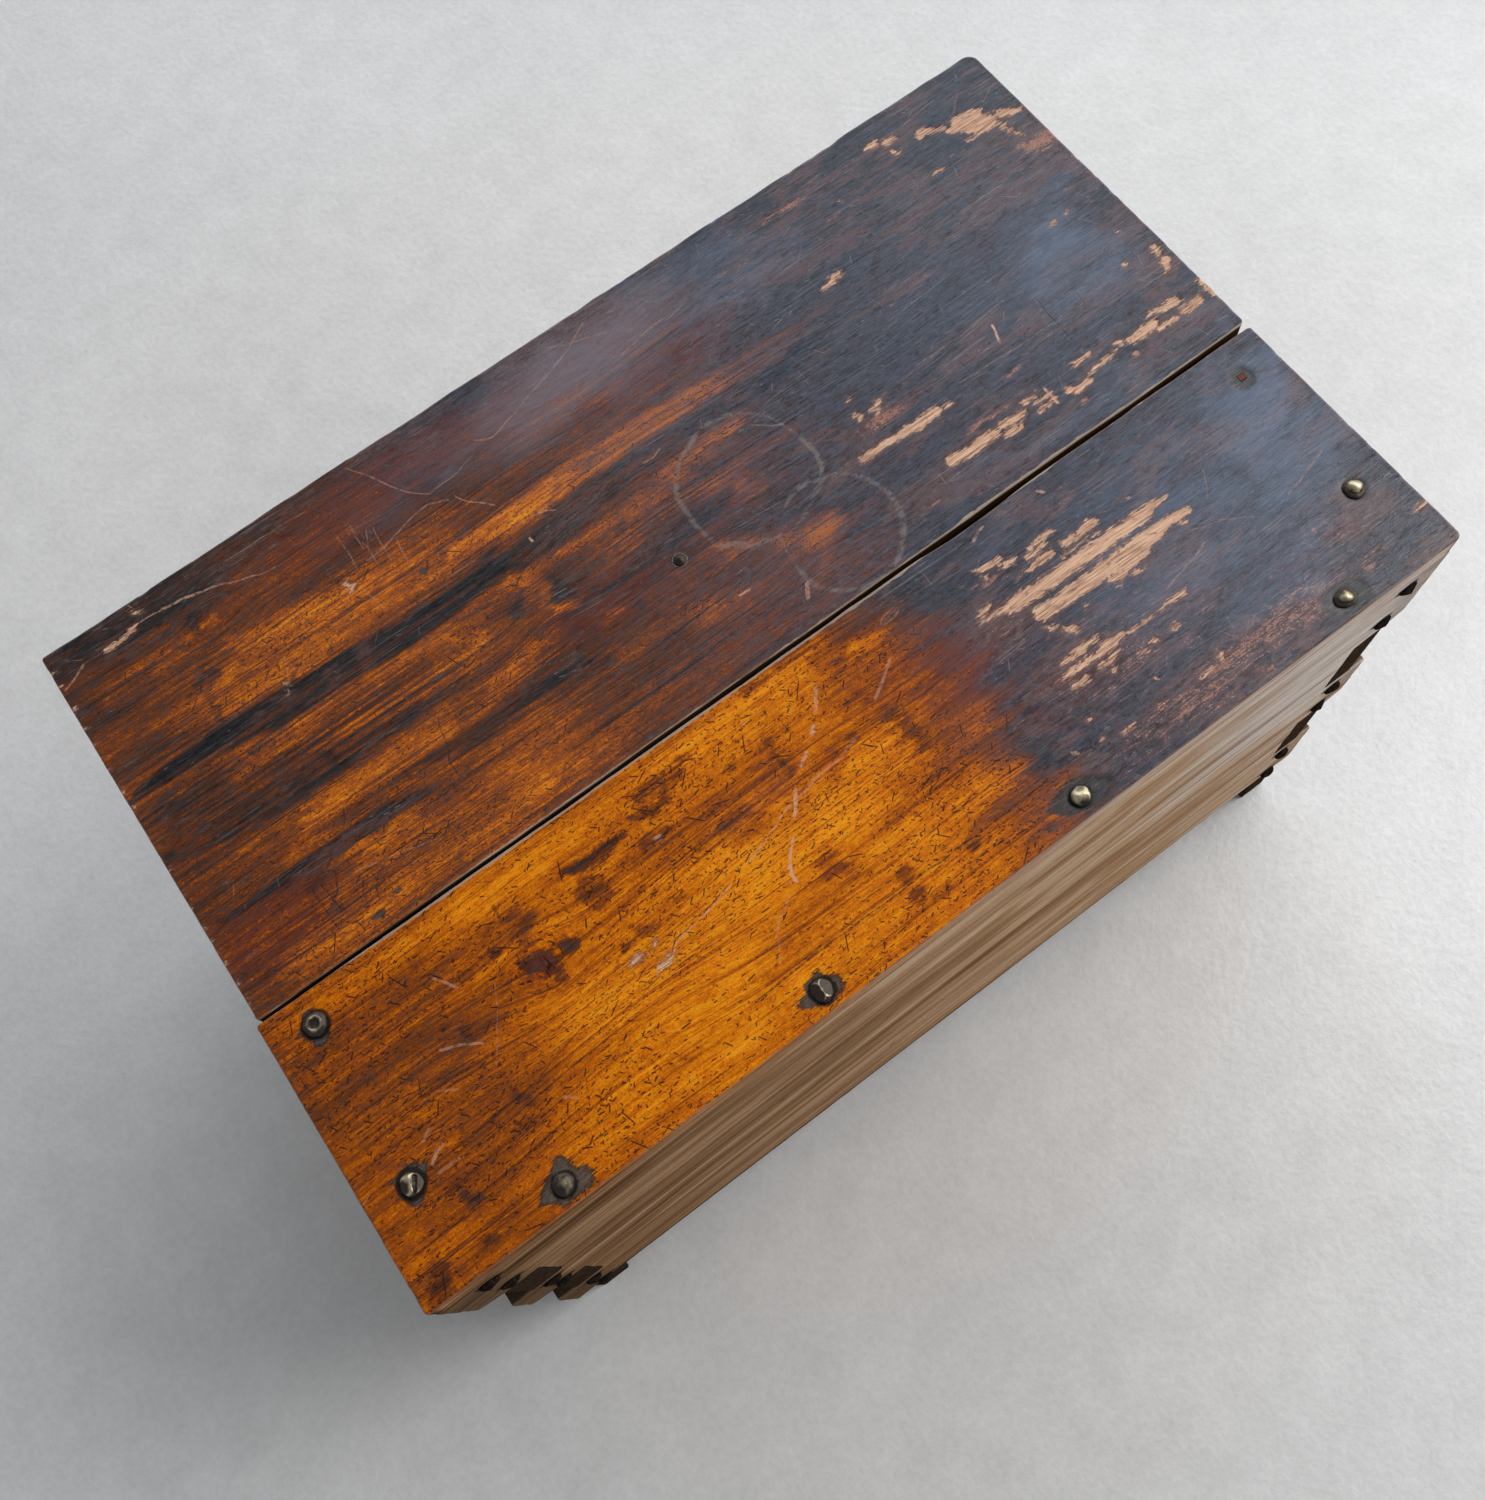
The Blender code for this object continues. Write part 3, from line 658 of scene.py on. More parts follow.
# Dark scratches and cracks: points, half width, strength
LID_SCRATCHES = [
    ([(-296, 2), (-296, -12), (-295.5, -26)], 0.5, 0.7),
    ([(-290, 2), (-289, -10), (-288.5, -18)], 0.5, 0.8),
    ([(-280, 2), (-284, -8), (-290, -12)], 0.6, 0.8),
    ([(-275, 14), (-284, 6), (-289, 1)], 0.5, 0.7),
    ([(-254, -10), (-260, -12), (-266, -20)], 0.7, 0.7),
    ([(-240, -7), (-244, -12)], 0.6, 0.7),
    ([(-285, -26), (-283, -36)], 0.6, 0.7),
    ([(-185, 43), (-188, 28), (-192, 20), (-192, 8)], 0.55, 0.75),
    ([(-216, 150), (-213, 138), (-212, 118)], 0.45, 0.6),
    ([(-138, 125), (-136, 112)], 0.5, 0.6),
    ([(-138, 100), (-136, 90)], 0.5, 0.6),
    ([(-148, 58), (-128, 54), (-112, 62)], 0.4, 0.6),
    ([(-42, 48), (-38, 28)], 0.4, 0.5),
    ([(-72, 127), (-72, 112)], 0.5, 0.4),
    ([(270, 47), (269, 30), (268, 12)], 0.5, 0.75),
    ([(204, 44), (204, 20)], 0.45, 0.5),
    ([(291, 28), (294, 40)], 0.4, 0.4),
    ([(274, 150), (273, 137)], 0.45, 0.5),
    ([(0, 19), (20, 21), (36, 20)], 0.6, 0.6),
    ([(-355, -26.5), (-300, -26.5)], 0.35, 0.7),
    ([(-143, -27.5), (-105, -28)], 0.35, 0.7),
    ([(-150, -33), (-115, -33)], 0.3, 0.5),
    ([(-360, 125), (-300, 124.5), (-230, 122)], 0.35, 0.7),
    ([(18, -38), (24, -28)], 0.7, 0.4),
]

# Water rings on the lid: (x, y, radius, half width)
LID_RINGS = [
    (52, 60, 44, 1.1),
    (76, -3, 37, 1.1),
]

# Crisp dark spots and holes
LID_STAIN = [
    [(-140.5, 131, 2.8)],
    [(-275, -33.5, 1.6), (-270, -33.5, 1.8)],
    [(-256, -28.5, 2.2)],
    [(165, 176.5, 1.6), (168, 176, 1.2)],
    [(-64, 121.5, 0.8)],
    [(272.5, 95, 1.4)],
]

# Bluish bloom of the worn lacquer and a painted sheen of reflected light: ovals of (x, y, half length, half
# width), amount and turn
LID_BLOOM_AND_SHEEN = [
    (250, 90, 150, 150, 0.38),
    (305, 60, 60, 80, 0.86),
    (10, 190, 140, 38, 1.0),
    (5, 128, 76, 12, 0.32),
    (-130, 184, 60, 22, 0.34),
    (130, 185, 70, 40, 0.66),
    (230, -30, 120, 12, 0.55),
    (298, 44, 60, 28, 0.9, 10),
    (335, 112, 42, 16, 0.6, 5),
    (345, -28, 26, 12, 0.55),
    (310, 150, 60, 50, 0.25),
    (340, 60, 30, 60, 0.3),
    (300, 205, 60, 22, 0.25, 10),
    (190, -30, 60, 14, 0.35),
    (210, 70, 70, 70, 0.22),
    (40, 175, 60, 12, 0.35),
    (120, 185, 70, 36, 0.22),
    (-20, 195, 60, 26, 0.22),
]

# Wear of the top plank, written as for the lid

PLANK_DARK = [
    # the left end
    ([(-360, -90, 20), (-300, -92, 16), (-250, -90, 12), (-215, -88, 12)], 16, 0.13),
    ([(-355, -110, 10), (-300, -112, 12), (-262, -114, 12)], 12, 0.13),
    ([(-300, -124, 5), (-285, -132, 8), (-272, -126, 6)], 7, 0.16),
    ([(-343, -214, 6), (-347, -222, 6)], 4, 0.35),
    ([(-313, -216, 2), (-309, -216, 2)], 2, 0.4),
    ([(-275, -109, 2.5)], 3, 0.35),
    ([(-267, -118, 3)], 3, 0.4),
    ([(-222, -107, 4), (-212, -110, 6), (-208, -119, 4)], 3, 0.42),
    ([(-222, -126, 1.5), (-206, -127, 2)], 2, 0.45),
    ([(-200, -106, 1.5), (-196, -112, 5), (-192, -114, 4)], 3, 0.42),
    ([(-232, -91, 3), (-228, -93, 2)], 2, 0.4),
    ([(-215, -82, 5), (-212, -92, 7)], 6, 0.22),
    ([(-262, -163, 3.5)], 3, 0.22),
    ([(-258, -171, 3)], 3, 0.2),
    ([(-313, -186, 2), (-311, -192, 3), (-307, -196, 2.5)], 2, 0.4),
    ([(-287, -196, 2)], 2, 0.3),
    ([(-303, -137, 1.5)], 2, 0.4),
    # the smears behind the middle
    ([(-174, -76, 2), (-160, -81, 4), (-150, -80, 4), (-133, -79, 1.5)], 3, 0.55),
    ([(-168, -92, 8), (-165, -99, 9)], 4, 0.34),
    ([(-117, -65, 3), (-105, -65, 4), (-90, -67, 4), (-83, -63, 3)], 3, 0.50),
    ([(-125, -74, 2), (-115, -78, 4), (-103, -76, 3)], 3, 0.42),
    ([(-128, -90, 3), (-112, -91, 3)], 3, 0.35),
    ([(-140, -93, 8), (-100, -97, 10), (-60, -95, 10), (-40, -98, 8)], 12, 0.17),
    ([(-66, -82, 2), (-60, -81, 2)], 2, 0.35),
    ([(-38, -84, 3), (-38, -95, 4), (-37, -108, 3)], 4, 0.25),
    ([(-85, -108, 5), (-72, -108, 4)], 4, 0.22),
    ([(-84, -119, 4), (-70, -120, 4)], 4, 0.20),
    ([(-162, -123, 2), (-157, -131, 2.5), (-148, -135, 2.5), (-135, -135, 1.5)], 1.5, 0.24),
    ([(-129.5, -128, 2.4)], 1.5, 0.28),
    ([(-171, -133, 3)], 3, 0.3),
    ([(-47, -135, 6), (-44, -140, 5)], 5, 0.16),
    ([(-49, -164, 10), (-46, -170, 9), (-40, -178, 4)], 5, 0.30),
    ([(-60, -175, 8)], 8, 0.14),
    ([(-22, -192, 5)], 2, 0.32),
    ([(-24, -206.5, 3), (-20, -205, 2)], 1.5, 0.5),
    ([(-17, -212.5, 2)], 1.5, 0.4),
    ([(-8, -210, 3)], 3, 0.2),
    ([(-30, -52, 4), (-20, -53, 4)], 4, 0.22),
    # the brown right of the middle
    ([(15, -70, 8), (20, -92, 9), (30, -110, 9)], 12, 0.20),
    ([(33, -124, 4), (34, -138, 5)], 3, 0.24),
    ([(40, -52, 10), (60, -56, 10), (75, -60, 8)], 8, 0.25),
    ([(60, -80, 8), (72, -98, 10), (74, -112, 10)], 10, 0.18),
    ([(3, -111, 4)], 3, 0.3),
    ([(30, -116, 5)], 4, 0.2),
    ([(14, -201.5, 2), (20, -202, 2.5)], 2, 0.4),
    ([(3, -170, 1.6)], 1.5, 0.4),
    ([(25, -194, 2.5), (55, -194, 3.5), (88, -194, 4)], 2.5, 0.38),
    ([(60, -219, 3)], 4, 0.25),
    ([(80, -180, 6), (88, -190, 6)], 6, 0.22),
    # broad shade
    ([(-235, -110, 12), (-190, -112, 18), (-60, -112, 14), (0, -112, 12)], 10, 0.11),
    ([(-330, -122, 6), (-240, -122, 8)], 8, 0.06),
    ([(-320, -150, 24), (-230, -150, 24), (-170, -140, 14)], 14, 0.05),
]

PLANK_BRIGHT = [
    ([(-335, -92, 12), (-245, -90, 12)], 8, 0.09),
    ([(-340, -66, 10), (-230, -64, 10)], 10, 0.09),
    ([(50, -172, 12), (74, -172, 12)], 8, 0.10),
    ([(-350, -58, 5), (-280, -60, 8), (-200, -60, 9), (-130, -58, 6), (-60, -60, 8), (0, -62, 7)], 8, 0.10),
    ([(-185, -112, 7), (-120, -118, 8), (-95, -128, 8)], 9, 0.07),
    ([(-200, -150, 18), (-140, -165, 22), (-90, -150, 18), (-20, -150, 16)], 16, 0.09),
    ([(-180, -210, 9), (-120, -208, 9), (-40, -205, 6)], 8, 0.06),
    ([(-330, -208, 6), (-290, -212, 7), (-240, -210, 7)], 7, 0.05),
    ([(0, -125, 10), (20, -130, 10), (24, -145, 6)], 8, 0.10),
    ([(10, -175, 12), (35, -172, 14), (60, -178, 12)], 10, 0.11),
    ([(35, -68, 6), (55, -75, 6)], 6, 0.20),
    ([(70, -150, 8), (75, -165, 8)], 8, 0.16),
    ([(90, -170, 5), (94, -183, 5)], 5, 0.12),
    ([(95, -206, 5), (78, -203, 4)], 5, 0.25),
]

PLANK_RED = [
    (-215, -112, 14, 12),
    (75, -120, 35, 40),
    (-49, -168, 14, 12),
    (-232, -91, 6, 5),
    (40, -95, 30, 14),
    (-20, -118, 40, 8),
    (115, -160, 30, 30),
]

PLANK_BARE = [
    [(125, -74, 2.0), (133, -75.5, 2.0), (141, -76, 1.3)],
    [(138, -80, 1.4), (144, -81, 2.2)],
    [(124, -80, 1.3)],
    [(158, -81, 1.3), (168, -80, 1.6), (175, -80, 1.2)],
    [(153, -85, 1.6), (161, -85, 1.2), (166, -84, 1.6)],
    [(150, -92, 1.6), (156, -91, 2.6), (166, -91.5, 2.2)],
    [(175, -91.5, 2.4), (186, -92, 2.0), (197, -90.5, 2.8)],
    [(168, -97, 0.7), (196, -97.2, 0.7)],
    [(108, -95.5, 1.3), (116, -95, 1.2)],
    [(105, -101, 1.0), (114, -101.5, 1.6), (124, -103, 3.0)],
    [(126, -104, 4.3), (160, -104.5, 4.4), (200, -105, 4.6), (226, -105.5, 4.2)],
    [(228, -103, 2.4), (237, -104, 1.8), (243, -104, 0.9)],
    [(137, -118, 4.6), (170, -118.2, 4.8), (200, -118.5, 5.2), (222, -118.5, 5.0)],
    [(210, -122, 4.0), (190, -123, 4.6)],
    [(226, -118, 3.6), (236, -117.5, 3.2), (248, -118.5, 1.8)],
    [(238, -123, 1.4), (240, -124.5, 1.2)],
    [(182, -126, 2.4), (190, -128, 2.0)],
    [(184, -132, 1.2)],
    [(196, -131, 1.2), (201, -131, 1.2)],
    [(133, -127, 1.2), (139, -130, 1.3)],
    [(160, -130, 1.3)],
    [(141, -132, 0.9), (146, -137, 2.4)],
    [(125, -149.5, 1.2), (140, -149, 1.7), (152, -148.5, 1.8)],
    [(118, -157, 1.0), (130, -156, 1.7), (146, -157, 1.9), (165, -156, 2.2)],
    [(150, -153.5, 0.9), (160, -154, 0.9)],
    [(170, -157.5, 0.8), (190, -158, 0.8), (203, -157, 1.0), (211, -157, 1.7)],
    [(122, -163, 1.5), (130, -165, 1.6), (134, -163, 1.2)],
    [(142, -163, 1.2), (148, -164, 1.8), (156, -163, 1.3)],
    [(147, -169.5, 1.5)],
    [(165, -171, 1.0), (170, -172, 1.2)],
    [(176, -169, 1.4), (178, -171, 1.0)],
    [(117, -184, 1.0)],
    [(116, -197.5, 1.1)],
    [(127, -201.5, 0.8), (133, -201.5, 0.8)],
    [(150, -202, 0.6), (156, -202, 0.6)],
    [(200, -197, 1.3), (200, -203, 0.9)],
    [(181, -203, 0.6), (194, -203, 0.6)],
    [(198, -207, 0.9)],
    [(189, -171, 1.4), (195, -170, 1.0)],
    [(350, -199.8, 0.7), (357, -198.8, 1.4)],
    [(-172, -142, 0.6), (-168, -141, 1.6), (-165, -143, 0.8)],
    [(-158, -142, 0.6), (-155, -140, 1.0)],
    [(-163, -155, 0.6), (-160, -153, 1.5), (-155, -152.5, 1.8), (-151, -150, 0.9)],
]

PLANK_SCUFF = [
    (150, -165, 80, 36, 0.40),
    (235, -205, 90, 20, 0.62),
    (112, -112, 34, 30, 0.36),
    (300, -178, 40, 22, 0.36),
    (170, -212, 75, 14, 0.62),
    (150, -205, 35, 6, 0.5),
    (255, -212, 40, 11, 0.62),
    (240, -206, 30, 5, 0.4),
    (312, -206, 22, 6, 0.6),
    (298, -210, 9, 6, 0.7),
    (316, -183, 20, 5, 0.42),
    (150, -170, 50, 26, 0.30),
    (215, -172, 30, 8, 0.42),
    (195, -183, 12, 10, 0.42),
    (185, -150, 50, 20, 0.22),
    (128, -84, 14, 5, 0.55),
    (138, -90, 5, 7, 0.5),
    (120, -96, 14, 5, 0.3),
    (112, -75, 6, 3, 0.35),
    (185, -70, 12, 4, 0.45),
    (175, -71, 6, 3, 0.3),
    (128, -130, 14, 10, 0.3),
    (195, -62, 20, 3, 0.3),
    (165, -53, 5, 3, 0.8),
    (350, -217, 12, 3, 0.4),
    (185, -222, 170, 4, 0.42),
    (95, -200, 18, 8, 0.35),
    (265, -178, 30, 4, 0.35),
    (225, -140, 20, 10, 0.22),
    (200, -130, 14, 5, 0.4),
]

PLANK_PALE = [
    # one long wandering scratch and the torn line that crosses it
    ([(-150, -151), (-146, -147.5), (-140, -146), (-132, -145)], 0.75, 0.9),
    ([(-127, -144.5), (-116, -142), (-103, -139.5)], 0.6, 0.9),
    ([(-86, -134.5), (-75, -131.5), (-62, -126), (-52, -122.5), (-42, -121)], 0.6, 0.8),
    ([(-40, -121), (-25, -118), (-5, -115.5), (6, -112)], 0.8, 0.35),
    ([(-56, -52), (-60, -50)], 0.4, 0.3),
    ([(-358, -161), (-353, -159)], 0.6, 0.3),
    ([(-266, -83), (-262, -88), (-258, -95)], 0.8, 0.45),
    ([(-282, -118), (-274, -122), (-262, -129)], 0.8, 0.45),
    ([(-239, -105), (-250, -125), (-262, -143)], 0.3, 0.4),
    ([(-296, -135), (-287, -141)], 0.6, 0.4),
    ([(-316, -153), (-309, -150)], 1.0, 0.35),
    ([(-318, -166), (-312, -161), (-308, -160)], 1.2, 0.45),
    ([(-318, -172), (-304, -172)], 0.8, 0.3),
    ([(-241, -179), (-236, -183)], 0.8, 0.5),
    ([(58, -66), (62, -63), (70, -62)], 0.5, 0.45),
    ([(60, -67.5), (68, -67), (73, -65)], 0.5, 0.45),
    ([(28, -100), (38, -94), (49, -86)], 0.9, 0.45),
    ([(204, -150), (222, -146), (240, -141)], 0.5, 0.5),
    ([(300, -147), (315, -143), (335, -138)], 0.7, 0.35),
    ([(240, -130), (258, -136), (275, -147)], 0.5, 0.3),
    ([(262, -119), (272, -105)], 0.5, 0.35),
    ([(134, -57), (141, -54), (145, -53.5)], 0.8, 0.6),
    ([(185, -55), (188, -58)], 0.8, 0.7),
    ([(-118, -91), (-122, -91)], 1.0, 0.6),
    ([(97, -194), (99, -195)], 1.2, 0.8),
    ([(162, -188), (163, -188.3)], 0.9, 0.9),
    ([(223.5, -92), (224.5, -92.3)], 0.9, 0.8),
    ([(-42, -67), (-43, -67.5)], 0.8, 0.7),
]

PLANK_PALE_CROSSING = [
    ([(-72.5, -159), (-72, -154), (-69.5, -149)], 1.2, 0.9),
    ([(-69.5, -149), (-64, -142.5), (-59, -138)], 0.9, 0.75),
    ([(-50.5, -129.5), (-46, -123), (-41, -116.5)], 1.1, 0.9),
    ([(-31, -107.5), (-27, -104), (-23, -102)], 1.1, 0.65),
    ([(-15, -96.5), (-11, -93)], 1.4, 0.75),
    ([(-6, -86), (-1, -81.5), (5, -74)], 1.1, 0.65),
    ([(-80, -163), (-90, -169), (-98, -176), (-106, -191)], 0.6, 0.4),
]

PLANK_SCRATCHES = [
    ([(-358, -52.2), (-345, -52.3), (-336, -52), (-333.5, -50)], 0.6, 1.0),
    ([(-304, -48), (-299, -53.5)], 0.6, 0.8),
    ([(-218, -52), (-212, -55)], 0.5, 0.5),
    ([(-218, -68), (-217, -77)], 0.7, 0.7),
    ([(-214, -69), (-217, -74)], 0.5, 0.7),
    ([(-354, -84), (-352, -95)], 0.5, 0.7),
    ([(-271, -174), (-266, -178), (-257, -183.5)], 1.3, 0.7),
    ([(-150, -149), (-144, -145.5), (-132, -143.8)], 0.4, 0.9),
    ([(-127, -143.2), (-103, -138)], 0.35, 0.9),
    ([(22, -163.5), (30, -158.5), (35, -154)], 0.5, 0.75),
    ([(-350, -199), (-330, -198), (-300, -198)], 0.5, 0.75),
    ([(-255, -201), (-220, -202)], 0.4, 0.6),
    ([(-50, -190), (-28, -190)], 0.35, 0.8),
    ([(-130, -199.5), (-90, -198.5), (-40, -198), (20, -198.3), (75, -197.8)], 0.6, 0.85),
    ([(-360, -125), (-320, -126), (-290, -130)], 0.35, 0.5),
    ([(-290, -166), (-250, -163), (-225, -157), (-200, -151), (-175, -148)], 0.4, 0.5),
    ([(-250, -170), (-220, -167), (-190, -162), (-172, -160)], 0.35, 0.45),
    ([(-300, -184), (-270, -183), (-220, -180), (-185, -178)], 0.35, 0.4),
    ([(0, -118), (20, -116), (45, -114)], 0.5, 0.6),
    ([(0, -80), (60, -81)], 0.4, 0.5),
    ([(-105, -127), (-103, -130)], 0.8, 0.6),
    ([(70, -175), (76, -182)], 0.5, 0.5),
    ([(-355, -182), (-330, -182), (-290, -184)], 0.3, 0.5),
    ([(26, -152), (60, -152.5), (90, -152)], 0.35, 0.5),
    ([(-240, -215), (-224, -217), (-228, -220)], 0.5, 0.5),
    ([(0, -210.5), (40, -210)], 0.4, 0.5),
    ([(-68, -186), (-64, -176)], 0.35, 0.3),
]

# Iron stains round the nails: strokes of (x, y, half width)
PLANK_STAIN = [
    [(-265, -215, 10.5), (-274, -216.5, 6.0), (-282, -217, 0.8)],
    [(-265, -216, 10.0), (-256, -219, 6.4), (-250, -219.8, 0.8)],
    [(-265, -214, 9.5), (-262.5, -207, 5.0), (-261, -203.5, 0.9)],
    [(-267, -218, 9.5), (-270, -223, 4.0)],
    [(-97.5, -216, 9.0), (-106, -215.8, 4.4), (-114, -215.4, 0.8)],
    [(-96, -215, 8.6), (-89, -217.5, 5.2), (-85, -218.7, 0.9)],
    [(-97, -212, 7.6), (-93.5, -208, 3.0), (-92.5, -206.5, 0.6)],
    [(-333, -66, 8.6), (-333.8, -71, 6.0), (-334, -75.5, 1.6)],
    [(-334, -63, 7.6), (-342.5, -65, 1.2)],
    [(-331, -166, 9.0), (-333.5, -174, 5.4), (-335, -178.5, 1.6)],
    [(-331, -165, 8.6), (-341, -160.5, 1.2)],
    [(-331, -166, 8.8), (-321, -163, 1.6)],
    [(83, -215, 10.0), (73, -214, 7.0), (64, -212.6, 1.8)],
    [(84, -215, 10.5), (94, -217.5, 7.5), (103, -219, 2.0)],
    [(281, -217, 11.0), (274, -214, 8.0), (288, -216, 8.0)],
    [(332, -168, 7.6)],
    [(331.5, -72.0, 8.0)],
]

# Bloom of the plank's lacquer and its painted sheen of reflected light, written as for the lid
PLANK_BLOOM_AND_SHEEN = [
    (250, -130, 130, 90, 0.66),
    (320, -110, 60, 80, 0.98),
    (270, -180, 60, 24, 0.70),
    (150, -60, 70, 16, 0.45),
    (345, -68, 44, 22, 0.75),
    (290, -85, 60, 30, 0.35),
    (300, -130, 60, 24, 0.45, 8),
    (285, -175, 60, 20, 0.2),
    (240, -60, 60, 12, 0.25),
    (150, -52, 60, 12, 0.18),
    (95, -82, 30, 34, 0.14),
    (-70, -108, 46, 22, 0.20),
]


# How much softer the tones fade than their written softness
SOFTER = 1.7


def soft_sum(x, y, strokes):
    """Sum of soft strokes, each (points, softness in millimetres, amount)."""
    total = np.zeros(len(x))
    for points, soft, amount in strokes:
        total += amount * ease(inside_stroke(x, y, points) / (SOFTER * soft) + 0.5)
    return total


def oval_sum(x, y, ovals):
    """The strongest of these soft ovals at each point."""
    best = np.zeros(len(x))
    for oval in ovals:
        best = np.maximum(best, soft_oval(x, y, *oval))
    return best


def is_small(stroke):
    """Whether a dark stroke is a small crisp blot rather than a broad streak."""
    points, soft, _ = stroke
    places = [point[0] for point in points]
    return soft <= 4 and max(places) - min(places) < 45


def blots(x, y, strokes):
    """Depth in the nearest small blot, and how dark that blot is."""
    depth = np.full(len(x), -FAR)
    strength = np.zeros(len(x))
    for points, _, amount in strokes:
        inside = inside_stroke(x, y, points)
        strength = np.where(inside > depth, amount, strength)
        depth = np.maximum(depth, inside)
    return depth, strength


def deepest(x, y, strokes):
    """The depth in the nearest of these strokes, for crisp edges drawn by the material."""
    best = np.full(len(x), -FAR)
    for points in strokes:
        best = np.maximum(best, inside_stroke(x, y, points))
    return best


def fine_lines(x, y, lines, most=4.0):
    """Signed distance to the nearest fine line, and its half width there times its strength."""
    side = np.full(len(x), most)
    width = np.zeros(len(x))
    strength = np.zeros(len(x))
    for points, half, strong in lines:
        for start, end in zip(points, points[1:]):
            away, along, way = to_segment(x, y, start, end)
            nearer = away < np.abs(side)
            side = np.where(nearer, away * way, side)
            length = math.hypot(end[0] - start[0], end[1] - start[1])
            held = ease(1.5 - np.maximum(np.maximum(-along, along - 1) * length, 0) / 1.2)
            held = held * ease((most - away) / 1.5)
            width = np.where(nearer, half * held, width)
            strength = np.where(nearer, strong * held, strength)
    return side, width, strength


def paint_tones(x, y, marks):
    """The soft tones of one top board, whose edges run out along the grain."""
    # the places are shifted far along x and little along y
    shift = rough(x / 30, y / 3.2, 3, 2)
    feathered_x = x + 9.0 * shift + 5.0 * rough(x / 18, y / 12, 5)
    feathered_y = y + 2.4 * rough(x / 55, y / 18, 7, 2) + 1.2 * rough(x / 9, y / 5, 9)
    broad = [stroke for stroke in marks["dark"] if not is_small(stroke)]
    streaky = np.clip(0.70 + 0.72 * rough(x / 110, y / 1.8, 27, 2), 0.08, 1.28)
    dark = marks["base"](feathered_x, feathered_y)
    dark = dark + marks["strength"] * streaky * soft_sum(feathered_x, feathered_y, broad)
    drift_x = x + 16 * rough(x / 38, y / 24, 43, 2)
    drift_y = y + 12 * rough(x / 34, y / 20, 45, 2)
    return {
        "dark": dark - soft_sum(feathered_x, feathered_y, marks["bright"]),
        "cool": marks["cool"](feathered_x, feathered_y),
        "red": oval_sum(feathered_x, feathered_y, marks["red"]),
        "scuff": oval_sum(feathered_x, feathered_y, marks["scuff"]),
        "bloom": oval_sum(drift_x, drift_y, marks["bloom"]),
    }


def paint_spots(x, y, marks):
    """The crisp places of one top board: torn patches and blots, iron stains, and rings of dirt and painted
    shadow round the nails.
    """
    torn_x = x + 2.4 * rough(x / 7, y / 1.9, 13, 2)
    torn_y = y + 0.7 * rough(x / 6, y / 3, 15, 2)
    blot, strength = blots(torn_x, torn_y, [stroke for stroke in marks["dark"] if is_small(stroke)])
    away = [np.hypot(x - cx, y - cy) - reach for cx, cy, reach in marks["nail_rings"]]
    return {
        "bare": deepest(torn_x, torn_y, marks["bare"]),
        "blot": blot,
        "blot_strength": strength * marks["blot_share"],
        "stain": deepest(x, y, marks["stain"]),
        "nail_ring": np.min(away, 0),
    }


def paint_lines(x, y, marks):
    """The scratches of one top board, and its water rings."""
    fields = {}
    wobbly_x = x + 0.8 * rough(x / 13, y / 13, 23, 2)
    wobbly_y = y + 0.8 * rough(x / 13, y / 13, 25, 2)
    for name in ("pale", "pale_crossing", "scratch"):
        side, width, strength = fine_lines(wobbly_x, wobbly_y, marks[name])
        if name != "scratch":
            strength = strength * np.where(width < 0.8, marks["faint"], 1.0)
        fields[name + "_side"] = side
        fields[name + "_width"] = width
        fields[name + "_strength"] = strength
    bent_x = x + 3.0 * rough(x / 34, y / 34, 47, 2)
    bent_y = y + 3.0 * rough(x / 34, y / 34, 49, 2)
    gaps = 1.6 * ease(rough(x / 24, y / 24, 51) - 0.1)
    ring = np.full(len(x), FAR)
    for cx, cy, radius, half in marks["rings"]:
        ring = np.minimum(ring, abs(np.hypot(bent_x - cx, bent_y - cy) - radius) - half + gaps)
    fields["ring"] = ring
    return fields


def paint_board(x, y, marks):
    """All the wear fields of one top board, for points in millimetres."""
    fields = {"across": across(x)}
    for paint in (paint_tones, paint_spots, paint_lines):
        fields.update(paint(x, y, marks))
    return fields


def lid_base(x, y):
    """Darkness of the lid before its streaks: amber brown at the left, black at the right."""
    dark = 0.46 + 0.18 * ease((x + 160) / 90) + 0.34 * ease((x - 40) / 110)
    dark += 0.12 * ease((-x - 285) / 60)
    dark += 0.16 * ease((y - 150) / 40)
    dark += 0.08 * ease((y - 205) / 20)
    return dark


def lid_cool(x, y):
    """Where the lid's dark tones turn purple and blue."""
    return np.clip(ease((x + 110) / 220) + 0.7 * ease((y - 150) / 60) * ease((x + 200) / 120), 0, 1)


def plank_cool(x, y):
    """Where the plank's dark tones turn purple and blue."""
    return ease((x - 30) / 90)


def plank_base(x, y):
    """Darkness of the plank: bright amber, then a quick turn to black right of the middle."""
    edge = 72 + 10 * np.sin(y / 19) + 18 * ease((-y - 95) / 20) * ease((y + 165) / 20)
    dark = 0.215 + 0.25 * ease((x - edge + 90) / 80) + 0.50 * ease((x - edge + 18) / 46)
    dark += 0.17 * ease((-x - 215) / 60)
    dark += 0.05 * ease((y + 110) / 30) * ease((-x - 20) / 60)
    return dark


# Materials

